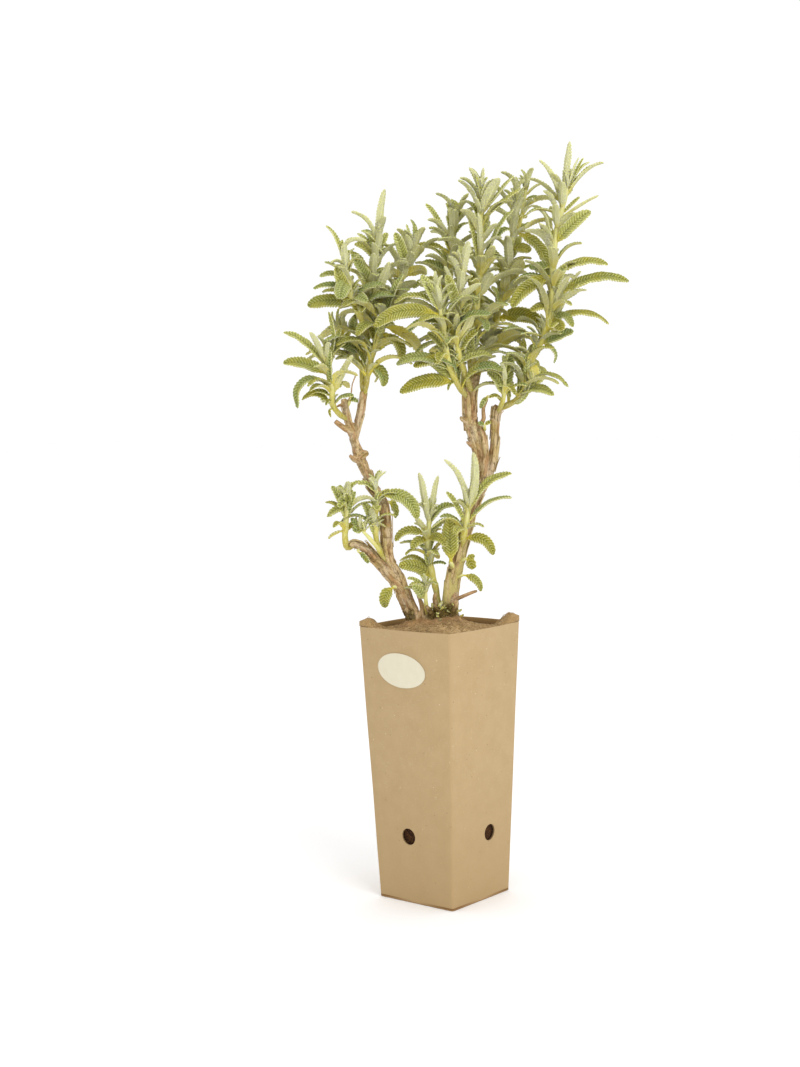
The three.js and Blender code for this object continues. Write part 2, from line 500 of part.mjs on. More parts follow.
// A closed body through rows of rings with equal counts of points. Each end closes in a flat face, or runs
// to a point where one is given. A quad is split from its first ring's later point where flip says so.
function loft(rings, { flip = () => false, root = null, point = null } = {}) {
  const count = rings[0].length;
  const corners = rings.flat();
  const last = corners.length - count;
  const index = [];
  for (let row = 0; row < rings.length - 1; row++) {
    for (let k = 0; k < count; k++) {
      const next = (k + 1) % count;
      const a = row * count + k;
      const b = row * count + next;
      const c = (row + 1) * count + next;
      const d = (row + 1) * count + k;
      if (flip(k)) index.push(a, b, d, b, c, d);
      else index.push(a, b, c, a, c, d);
    }
  }
  if (root) {
    corners.push(root);
    for (let k = 0; k < count; k++) index.push(corners.length - 1, (k + 1) % count, k);
  } else {
    for (let k = 1; k < count - 1; k++) index.push(0, k + 1, k);
  }
  if (point) {
    corners.push(point);
    for (let k = 0; k < count; k++) index.push(corners.length - 1, last + k, last + (k + 1) % count);
  } else {
    for (let k = 1; k < count - 1; k++) index.push(last, last + k, last + k + 1);
  }
  const geometry = new THREE.BufferGeometry();
  const positions = corners.flatMap((corner) => corner.toArray());
  geometry.setAttribute('position', new THREE.Float32BufferAttribute(positions, 3));
  geometry.setIndex(index);
  return geometry;
}

// A small generator of even draws from 0 to 1, the same wherever it is run.
function drawer(seed) {
  let state = seed;
  return () => {
    state = (state * 1664525 + 1013904223) % 4294967296;
    return state / 4294967296;
  };
}

// A point seen at x and z in the measuring plane, set at its depth along the line of sight.
function place(x, z, depth) {
  const share = depth / -EYE.y;
  return new THREE.Vector3(x + (x - EYE.x) * share, depth, z + (z - EYE.z) * share);
}

function seenHeight(point) {
  const share = point.y / -EYE.y;
  return (point.z + EYE.z * share) / (1 + share);
}

// A leafy stem or a limb of the wood, along a smooth curve through its rows.
class Stem {
  constructor(rows) {
    this.rows = rows;
    const places = rows.map(([x, z, depth]) => place(x, z, depth));
    this.curve = new THREE.CatmullRomCurve3(places, false, 'catmullrom');
  }

  radius(t) {
    const at = t * (this.rows.length - 1);
    const low = Math.min(Math.floor(at), this.rows.length - 2);
    return Math.max(THREE.MathUtils.lerp(this.rows[low][3], this.rows[low + 1][3], at - low), THINNEST_STEM);
  }

  // Where the stem passes a seen height.
  atHeight(height) {
    const tries = 120;
    let best = 0;
    let nearest = Infinity;
    for (let i = 0; i <= tries; i++) {
      const miss = Math.abs(seenHeight(this.curve.getPoint(i / tries)) - height);
      if (miss < nearest - 1e-6) {
        nearest = miss;
        best = i / tries;
      }
    }
    return best;
  }

  // The stem as a tapering tube, its radius roughened by bark and grown by extra.
  body(sides, step, bark, extra, random) {
    const count = Math.max(2, Math.round(this.curve.getLength() / step));
    const frames = this.curve.computeFrenetFrames(count, false);
    const rings = [];
    for (let i = 0; i <= count; i++) {
      const t = this.curve.getUtoTmapping(i / count);
      const centre = this.curve.getPoint(t);
      if (i === 0) centre.addScaledVector(frames.tangents[i], -extra);
      if (i === count) centre.addScaledVector(frames.tangents[i], extra);
      const ring = [];
      for (let k = 0; k < sides; k++) {
        const angle = (k / sides) * 2 * Math.PI;
        const radius = this.radius(t) * (1 + bark * (random() - 0.5)) + extra;
        const point = centre.clone();
        point.addScaledVector(frames.normals[i], Math.cos(angle) * radius);
        point.addScaledVector(frames.binormals[i], Math.sin(angle) * radius);
        ring.push(point);
      }
      rings.push(ring);
    }
    return solidOf(loft(rings));
  }
}

// Half width of a leaf along its length, as a share of the widest: a narrow stalk, an oblong blade that is
// widest below its middle, and a blunt tip.
function outline(s) {
  const start = 0.04;
  const lean = 0.8;
  const fullness = 0.7;
  const stalk = STALK_WIDTH * (1 - s);
  const along = Math.pow(THREE.MathUtils.clamp((s - start) / (1 - start / 2), 0, 1), lean);
  return Math.max(stalk, Math.pow(Math.sin(Math.PI * along), fullness));
}

class Leaf {
  constructor(base, tip, up, depth, width, bow, face) {
    Object.assign(this, { base, tip, up, depth, width, bow, face });
  }

  // The same leaf swung about the upright line through its base.
  swung(angle) {
    const axis = new THREE.Vector3(0, 0, 1);
    const tip = this.tip.clone().sub(this.base).applyAxisAngle(axis, angle).add(this.base);
    return new Leaf(this.base, tip, this.up, this.depth, this.width, this.bow, this.face);
  }

  // The blade as a keeled, waved strip: pointed at its root, which is sunk to depth past the stem's middle,
  // and at its tip. It starts from a share of its length, and grow fattens it.
  body(grow, from = 0) {
    const chord = this.tip.clone().sub(this.base);
    const along = chord.clone().normalize();
    const upper = this.up.clone().addScaledVector(along, -this.up.dot(along));
    if (upper.length() < 0.05) upper.set(0, -1, 0).addScaledVector(along, along.y);
    upper.normalize();
    const middle = this.base.clone().addScaledVector(chord, 0.55).addScaledVector(upper, 2 * this.bow);
    const spine = new THREE.QuadraticBezierCurve3(this.base, middle, this.tip);
    const count = THREE.MathUtils.clamp(Math.round(chord.length() / LEAF_STEP), FEWEST_RINGS, MOST_RINGS);
    const rings = [];
    for (let i = 0; i < count; i++) {
      const s = THREE.MathUtils.lerp(from, 1, (i + 0.9) / (count + 0.6));
      const centre = spine.getPoint(s);
      const tangent = spine.getTangent(s);
      const flat = upper.clone().addScaledVector(tangent, -upper.dot(tangent)).normalize();
      const toEye = new THREE.Vector3(0, -1, 0).addScaledVector(tangent, tangent.y).normalize();
      const normal = flat.multiplyScalar(Math.sqrt(1 - this.face * this.face));
      normal.addScaledVector(toEye, this.face);
      normal.addScaledVector(tangent, -normal.dot(tangent)).normalize();
      const side = new THREE.Vector3().crossVectors(tangent, normal);
      const turn = i % 2 === 0 ? -1 : 1;
      const half = (this.width / 2) * outline(s) * (1 + WAVE * turn) + grow;
      const lift = half * CHANNEL + RIPPLE * turn;
      const under = BLADE_THICKNESS * (1 + BASE_THICKENING * (1 - s)) + grow - lift * KEEL_SHARE;
      rings.push([
        centre.clone().addScaledVector(side, half).addScaledVector(normal, lift),
        centre.clone().addScaledVector(normal, -under),
        centre.clone().addScaledVector(side, -half).addScaledVector(normal, lift),
      ]);
    }
    const root = spine.getPoint(from);
    if (from === 0) root.addScaledVector(spine.getTangent(0), -this.depth);
    const point = this.tip.clone().addScaledVector(spine.getTangent(1), grow);
    return solidOf(loft(rings, { flip: (k) => k % 2 === 1, root, point }));
  }
}

// The leaves that a shoot lists by hand.
function listedLeaves(shoot, stem) {
  return shoot.leaves.map(([height, x, z, reach, width, bow, face]) => {
    const t = stem.atHeight(height);
    const base = stem.curve.getPoint(t);
    const tip = place(x, z, base.y + reach);
    return new Leaf(base, tip, stem.curve.getTangent(t), stem.radius(t) * ROOT_SHARE, width, bow, face);
  });
}

// The pairs that fill a shoot on the sides that the list leaves open.
function pairedLeaves(shoot, stem) {
  if (!shoot.pairs) return [];
  const { from, to, count, turn, length, width } = shoot.pairs;
  const { lerp, degToRad } = THREE.MathUtils;
  const random = drawer(shoot.seed);
  const stray = (most) => (2 * random() - 1) * most;
  const leaves = [];
  for (let i = 0; i < count; i++) {
    const share = count > 1 ? i / (count - 1) : 0;
    const t = stem.atHeight(lerp(from, to, share));
    const base = stem.curve.getPoint(t);
    const up = stem.curve.getTangent(t);
    for (const half of [0, 180]) {
      const bearing = degToRad(turn + half) + stray(BEARING_STRAY);
      const slope = lerp(...PAIR_SLOPES, share) + stray(SLOPE_STRAY);
      const reach = length * lerp(...PAIR_LENGTHS, share) * (1 + stray(SIZE_STRAY));
      const way = new THREE.Vector3(Math.cos(bearing), Math.sin(bearing), 0).multiplyScalar(Math.cos(slope));
      way.setZ(Math.sin(slope)).multiplyScalar(reach);
      const breadth = width * (1 + stray(SIZE_STRAY));
      const arch = reach * lerp(...PAIR_BOWS, share);
      leaves.push(new Leaf(base, base.clone().add(way), up, stem.radius(t) * ROOT_SHARE, breadth, arch, 0));
    }
  }
  return leaves;
}

// Boxes of two solids meet.
function near(a, b) {
  for (let axis = 0; axis < 3; axis++) {
    if (a.min[axis] > b.max[axis] || b.min[axis] > a.max[axis]) return false;
  }
  return true;
}

// Everything placed so far, each piece with the node that it belongs to.
class Thicket {
  constructor() {
    this.pieces = [];
  }

  put(owner, solid, blade) {
    this.pieces.push({ owner, solid, blade, box: solid.boundingBox() });
  }

  clearOfOthers(owner, solid) {
    const box = solid.boundingBox();
    return this.pieces.every((piece) => piece.owner === owner || !near(piece.box, box)
      || piece.solid.intersect(solid).isEmpty());
  }

  clearOfSisters(owner, blade) {
    const box = blade.boundingBox();
    return this.pieces.every((piece) => piece.owner !== owner || !piece.blade || !near(piece.box, box)
      || piece.blade.intersect(blade).isEmpty());
  }
}

// The wood: two trunks with their forks, spurs and twigs, grown together in a lumpy stool.
function woodBody(extra) {
  const random = drawer(WOOD_SEED);
  const limbs = WOOD.map((rows) => {
    const thick = Math.max(...rows.map((row) => row[3]));
    const sides = thick > THICK_LIMB ? 6 : 4;
    return new Stem(rows).body(sides, Math.max(LIMB_STEP, thick * LIMB_STEP_SHARE), BARK, extra, random);
  });
  const lumps = STOOL.map(([x, z, depth, radius]) => {
    const lump = new THREE.IcosahedronGeometry(radius + extra, 0);
    const centre = place(x, z, depth);
    lump.scale(1, 0.9, 0.8);
    lump.translate(centre.x, centre.y, centre.z);
    return solidOf(lump);
  });
  const spurs = STOOL_SPURS.map((rows) => new Stem(rows).body(4, SPUR_STEP, BARK, extra, random));
  return joined([...limbs, ...lumps, ...spurs]);
}

// Each shoot's stem with its leaves. A stem stops just short of the wood or the stem that carries it.
function leafyShoots(wood, fatWood) {
  const thicket = new Thicket();
  thicket.put('wood', wood);
  const carriers = [fatWood];
  const grown = SHOOTS.map((shoot) => {
    const stem = new Stem(shoot.stem);
    const random = drawer(shoot.seed);
    const whole = stem.body(STEM_SIDES, STEM_STEP, 0, 0, random);
    const body = carriers.reduce((rest, carrier) => rest.subtract(carrier), whole);
    carriers.push(stem.body(STEM_SIDES, STEM_STEP, 0, GAP, random));
    thicket.put(shoot.name, body);
    return { shoot, stem, pieces: [body] };
  });
  // A leaf that would cross another shoot is swung clear; it also keeps clear of its sisters where it can.
  for (const { shoot, stem, pieces } of grown) {
    for (const leaf of [...listedLeaves(shoot, stem), ...pairedLeaves(shoot, stem)]) {
      const tries = SWINGS.map((angle) => leaf.swung(angle));
      const fits = tries.filter((tried) => thicket.clearOfOthers(shoot.name, tried.body(CLEARANCE)));
      const clear = fits.find((tried) => thicket.clearOfSisters(shoot.name, tried.body(0, STALK_SHARE)));
      const free = clear ?? fits[0];
      if (!free) continue;
      const body = free.body(0);
      thicket.put(shoot.name, body, free.body(0, STALK_SHARE));
      pieces.push(body);
    }
  }
  return grown.map(({ shoot, pieces }) => [shoot.name, joined(pieces)]);
}

// Card pot

function lerpSide(height) {
  return THREE.MathUtils.lerp(POT_FOOT, POT_TOP, height / POT_HEIGHT);
}

// How far a wall bows out, at a height and at a share of its width from the middle.
function wallBow(height, share) {
  return RIM_BULGE * (height / POT_HEIGHT) * (1 - share * share);
}

// One level of the pot's square: walls bowed outward towards the rim, and small rounded corners.
function squareRing(height, inset) {
  const half = lerpSide(height) / 2 - inset;
  const radius = Math.max(CORNER_RADIUS - inset, 0.4);
  const flat = half - radius;
  const points = [];
  for (let wall = 0; wall < 4; wall++) {
    const turn = (wall * Math.PI) / 2;
    for (let k = 0; k <= WALL_CELLS; k++) {
      const share = (2 * k) / WALL_CELLS - 1;
      const point = new THREE.Vector3(share * flat, -half - wallBow(height, share), height);
      points.push(point.applyAxisAngle(new THREE.Vector3(0, 0, 1), turn));
    }
    const corner = new THREE.Vector3(flat + radius * Math.SQRT1_2, -flat - radius * Math.SQRT1_2, height);
    points.push(corner.applyAxisAngle(new THREE.Vector3(0, 0, 1), turn));
  }
  return points;
}

function potBody() {
  const outer = loft([0, POT_HEIGHT].map((height) => squareRing(height, 0)));
  const inside = loft([POT_FLOOR, POT_HEIGHT + 1].map((height) => squareRing(height, CARD)));
  let pot = solidOf(outer).subtract(solidOf(inside));
  const walls = [
    { offset: HOLE_OFFSETS.front, turn: 0 },
    { offset: HOLE_OFFSETS.right, turn: Math.PI / 2 },
    { offset: HOLE_OFFSETS.back, turn: Math.PI },
    { offset: HOLE_OFFSETS.left, turn: -Math.PI / 2 },
  ];
  for (const { offset, turn } of walls) {
    const punch = new THREE.CylinderGeometry(HOLE_DIAMETER / 2, HOLE_DIAMETER / 2, PUNCH_LENGTH, HOLE_SIDES);
    punch.translate(offset, -lerpSide(HOLE_HEIGHT) / 2, HOLE_HEIGHT);
    punch.rotateZ(turn);
    pot = pot.subtract(solidOf(punch));
  }
  return pot;
}

// The label lies along the bowed front wall.
function labelBody() {
  const reach = [0, 0.5, 1];
  const back = reach.map((share) => new THREE.Vector2(share, 0));
  const front = reach.map((share) => new THREE.Vector2(share, LABEL_THICKNESS)).reverse();
  const plate = new THREE.LatheGeometry([...back, ...front], LABEL_SIDES);
  plate.scale(LABEL_WIDTH / 2, 1, LABEL_HEIGHT / 2);
  plate.rotateY(-LABEL_TURN);
  plate.translate(LABEL_X, 0, LABEL_Z);
  const spots = plate.attributes.position;
  for (let i = 0; i < spots.count; i++) {
    spots.setY(i, spots.getY(i) - wallFace(spots.getX(i), spots.getZ(i)) - GAP - LABEL_THICKNESS);
  }
  return geometryOf(solidOf(plate));
}

// How far the front wall stands from the axis at x and z.
function wallFace(x, z) {
  const half = lerpSide(z) / 2;
  return half + wallBow(z, x / (half - CORNER_RADIUS));
}

// Soil and mat

// Height of the mat's upper face: drawn up round the stool and in the corners.
function matHeight(x, y) {
  const half = lerpSide(MAT_EDGE) / 2;
  const mound = MAT_MOUND * Math.exp(-(x * x + y * y) / (2 * MOUND_SPREAD * MOUND_SPREAD));
  const peaks = MAT_PEAKS.reduce((rise, peak) => {
    const away = Math.hypot(x - peak.x * half, y - peak.y * half);
    return rise + peak.rise * Math.exp(-(away * away) / (2 * PEAK_SPREAD * PEAK_SPREAD));
  }, 0);
  return MAT_EDGE + mound + peaks;
}

// A slab that fills the pot's square from one height to another, both given over the square. Its two
// faces are split into triangles alike, so that slabs of the same grid lie on each other.
function fillingSlab(lowAt, highAt) {
  const rows = WALL_CELLS + 1;
  const positions = [];
  for (const heightAt of [lowAt, highAt]) {
    for (let i = 0; i < rows * rows; i++) {
      const u = (2 * (i % rows)) / WALL_CELLS - 1;
      const v = (2 * Math.floor(i / rows)) / WALL_CELLS - 1;
      const guess = heightAt(u * POT_FOOT / 2, v * POT_FOOT / 2);
      const half = lerpSide(guess) / 2 - CARD - GAP - 0.1;
      const x = u * (half + Math.abs(u) * wallBow(guess, v));
      const y = v * (half + Math.abs(v) * wallBow(guess, u));
      positions.push(x, y, heightAt(x, y));
    }
  }
  const index = [];
  const upper = rows * rows;
  for (let row = 0; row < WALL_CELLS; row++) {
    for (let column = 0; column < WALL_CELLS; column++) {
      const a = row * rows + column;
      const c = a + rows;
      index.push(a, c, a + 1, a + 1, c, c + 1);
      index.push(upper + a, upper + a + 1, upper + c, upper + a + 1, upper + c + 1, upper + c);
    }
  }
  const edge = [];
  for (let k = 0; k < WALL_CELLS; k++) edge.push(k);
  for (let k = 0; k < WALL_CELLS; k++) edge.push(k * rows + WALL_CELLS);
  for (let k = WALL_CELLS; k > 0; k--) edge.push(WALL_CELLS * rows + k);
  for (let k = WALL_CELLS; k > 0; k--) edge.push(k * rows);
  edge.forEach((a, k) => {
    const b = edge[(k + 1) % edge.length];
    index.push(a, b, upper + b, a, upper + b, upper + a);
  });
  const geometry = new THREE.BufferGeometry();
  geometry.setAttribute('position', new THREE.Float32BufferAttribute(positions, 3));
  geometry.setIndex(index);
  return solidOf(geometry);
}

function soilBody(fatWood) {
  const topAt = (x, y) => matHeight(x, y) - MAT_THICKNESS - GAP;
  return fillingSlab(() => POT_FLOOR + GAP, topAt).subtract(fatWood);
}

function matBody(fatWood) {
  return fillingSlab((x, y) => matHeight(x, y) - MAT_THICKNESS, matHeight).subtract(fatWood);
}

const wood = woodBody(0);
const fatWood = woodBody(GAP);
const turned = (solid) => solid.rotate([0, 0, THREE.MathUtils.radToDeg(PLANT_TURN)]);

const plant = new THREE.Group();
plant.rotation.z = PLANT_TURN;
plant.add(named('woody_stems', geometryOf(wood), shade(COLOURS.wood, 0.9)));
for (const [name, solid] of leafyShoots(wood, fatWood)) {
  plant.add(named(name, geometryOf(solid), shade(COLOURS.leaf, 0.85)));
}

const pottedPhlomis = new THREE.Group();
pottedPhlomis.add(named('card_pot', geometryOf(potBody()), shade(COLOURS.card, 0.85)));
pottedPhlomis.add(named('label', labelBody(), shade(COLOURS.label, 0.6)));
pottedPhlomis.add(named('root_ball', geometryOf(soilBody(turned(fatWood))), shade(COLOURS.soil, 1)));
pottedPhlomis.add(named('mulch_mat', geometryOf(matBody(turned(fatWood))), shade(COLOURS.mat, 0.95)));
pottedPhlomis.add(plant);

export default pottedPhlomis;
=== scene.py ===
"""The looks of a potted young shrubby phlomis: felted leaves, bark, kraft card and a fibre mat."""
import logging
import math
from collections.abc import Iterator
from dataclasses import dataclass, field
from enum import Enum

import bmesh
import bpy
import numpy as np
from bpy.types import Material, Mesh, NodeSocket as Socket, Object
from mathutils import Matrix, Vector, noise
from mathutils.kdtree import KDTree


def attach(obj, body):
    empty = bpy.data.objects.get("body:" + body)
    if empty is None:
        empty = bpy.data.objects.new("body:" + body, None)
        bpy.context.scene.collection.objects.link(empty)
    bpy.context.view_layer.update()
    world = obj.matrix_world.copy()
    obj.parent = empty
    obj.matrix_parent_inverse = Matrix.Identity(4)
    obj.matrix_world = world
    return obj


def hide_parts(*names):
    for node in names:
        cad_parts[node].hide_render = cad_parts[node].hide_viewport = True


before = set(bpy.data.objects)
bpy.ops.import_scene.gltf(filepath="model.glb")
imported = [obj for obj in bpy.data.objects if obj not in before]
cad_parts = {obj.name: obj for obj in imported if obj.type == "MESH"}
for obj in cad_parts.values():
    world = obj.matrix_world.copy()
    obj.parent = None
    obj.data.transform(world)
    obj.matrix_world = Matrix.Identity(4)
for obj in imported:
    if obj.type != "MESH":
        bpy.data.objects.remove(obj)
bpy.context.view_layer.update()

log = logging.getLogger("potted_phlomis")

MM = 0.001

# The plant was measured face on, in millimetres: x to the right and z up in the upright plane through the
# pot's axis, depth counted away from the eye. PLANT_TURN turns that plane into the pot's frame.
EYE = np.array([-29.6, -1308.9, 382.4])
PLANT_TURN = math.radians(39.9)


@dataclass(frozen=True)
class Pairs:
    """Opposite leaves by rule, from one seen height to another.

    Args:
        start: Seen height of the lowest pair.
        end: Seen height of the highest pair.
        count: How many pairs.
        turn: Bearing of one leaf of each pair, in degrees, before it strays.
        length: Length of the lowest leaves.
        width: Width of a leaf before it strays.
    """

    start: float
    end: float
    count: int
    turn: float
    length: float
    width: float


@dataclass(frozen=True)
class Shoot:
    """One leafy shoot, as its CAD node has it.

    Args:
        name: The CAD node.
        seed: Seed of its draws.
        stem: Rows of x, z, depth and radius.
        leaves: Rows of height on the stem, tip x, tip z, reach in depth, width, bow and face.
        pairs: The leaves that fill its other sides.
        filled: How far below its lowest listed leaf the axils are leafy, as a share of the stem.
    """

    name: str
    seed: int
    stem: tuple
    leaves: tuple
    pairs: Pairs | None = None
    filled: float = 0.0


# Woody stems: each limb is a row of (x, z, depth, radius); then the stool's spurs and lumps.
WOOD = (
    ((-16, 190, 0, 6.5), (-19, 214, 0, 7.2), (-23.5, 228, 0, 6.4), (-28, 240, 0, 6.2), (-31.5, 251, 0, 5.6),
     (-36.5, 261, 0, 4.9), (-39.6, 271, 0, 4.8), (-40.3, 285, 0, 4.7), (-40.4, 300, 0, 4.4),
     (-42.3, 312, 1, 4.1), (-50.5, 324, 2, 4.1), (-53.6, 332, 2, 4), (-57.4, 341, 1, 3.9),
     (-60.2, 349, 0, 4.5), (-63.2, 359, 0, 3.5), (-64.8, 366, 0, 3.9), (-67.3, 374, -1, 3),
     (-69.6, 384, -1, 2.8), (-71.2, 392.5, -1, 2.4)),
    ((-63.5, 362, 0, 3.2), (-61.3, 370, 1, 3), (-58.8, 379, 2, 2.9), (-56.6, 389, 2, 2.8),
     (-55.6, 398, 2, 2.5)),
    ((-29, 243, -1, 5), (-37, 252, -3, 4.6), (-45, 262, -4, 4.1), (-52, 270.5, -4, 3.9), (-59, 277, -4, 3.7),
     (-65.5, 280, -4, 3.3), (-69, 277.5, -4, 2.6)),
    ((-64, 366, -1, 2.6), (-71.5, 370, -3, 2.4), (-78.3, 375.4, -4, 2.1)),
    ((-60, 344, -1, 2.4), (-64, 345.2, -2, 1.9), (-67.6, 348.7, -3, 1.4)),
    ((-60, 348, 0, 3), (-55.5, 349.6, -2, 2.8), (-52.8, 350.4, -2, 1.8)),
    ((-69.4, 388, 0, 1), (-66, 394, 0, 0.8), (-64, 404, 0, 0.7), (-61.2, 411, 0, 0.6)),
    ((-68.5, 386, -1, 1.6), (-73.5, 387.6, -2, 1.3), (-77, 386.4, -3, 0.8)),
    ((6, 190, 0, 6.5), (7.5, 214, 0, 7), (8.6, 230, 0, 6.2), (10.3, 244, 0, 5.8), (13.2, 258, 0, 5.7),
     (16.6, 272, 0, 5.6), (20.5, 286, 1, 5.1), (25, 300, 2, 5.1), (30.5, 315, 3, 5.4), (35, 329, 3, 5.4),
     (34.2, 342, 2, 4.7), (31.6, 354, 1, 4.3), (28.4, 366, 0, 4.8), (27.4, 380, 0, 4.9), (27.6, 394, 0, 4.8),
     (30, 403, 0, 4), (32.8, 409, -1, 3)),
    ((34, 320, 4, 4.5), (40.5, 333, 5, 4.4), (44, 345, 5, 4), (45.6, 358, 5, 3.8), (46.2, 370, 4, 3.3),
     (47, 379, 3, 3.8), (49.4, 384, 2, 4.2)),
    ((36, 330, -1, 2.6), (38, 344, -2, 2.6), (37.6, 356, -2, 2.4), (35.4, 365, -1, 2.2), (31, 371, 0, 2.4)),
    ((24.5, 366, 2, 2.8), (23.6, 378, 3, 2.7), (24, 391, 3, 2.7), (27, 401, 3, 2.4)),
    ((34, 369, -2, 2), (37.2, 375, -3, 1.8), (37.2, 383, -3, 1.7), (40.2, 390.5, -3, 1.2)),
    ((27, 371, -2, 2.2), (21.5, 374, -3, 1.8), (19, 376.6, -4, 1.2)),
    ((30, 352, -1, 2), (26, 355, -3, 1.3), (23.6, 357.6, -3, 0.9)),
    ((9, 232, -3, 2), (16, 235.2, -5, 1.7), (23, 238, -6, 1.5), (30, 240.4, -6, 1.2)),
    ((5, 228, -4, 2.4), (5.6, 243, -5, 2.2), (7.5, 255.5, -6, 1.5)),
)
STOOL_SPURS = (
    ((-4, 219, -7, 2.6), (-8.5, 227, -12, 1.9), (-10.5, 229.5, -13, 1.3)),
    ((3, 220, -8, 2.6), (-1.5, 227, -13, 1.7), (-4.5, 229.5, -14, 1.2)),
    ((9, 220, -8, 3), (12, 228, -12, 2.3), (13.4, 233.5, -13, 1.5)),
    ((-2, 221, -2, 2.6), (-3.4, 234, -5, 1.9), (-3, 239.5, -6, 1.2)),
    ((-13, 217, -3, 2.6), (-13.5, 229, -5, 2), (-17, 239, -6, 1.2)),
)
STOOL = (
    (-15, 215, 2, 8.5), (-6, 216, -2, 9), (6, 218, -2, 9.5), (1, 217, 6, 7.5),
)

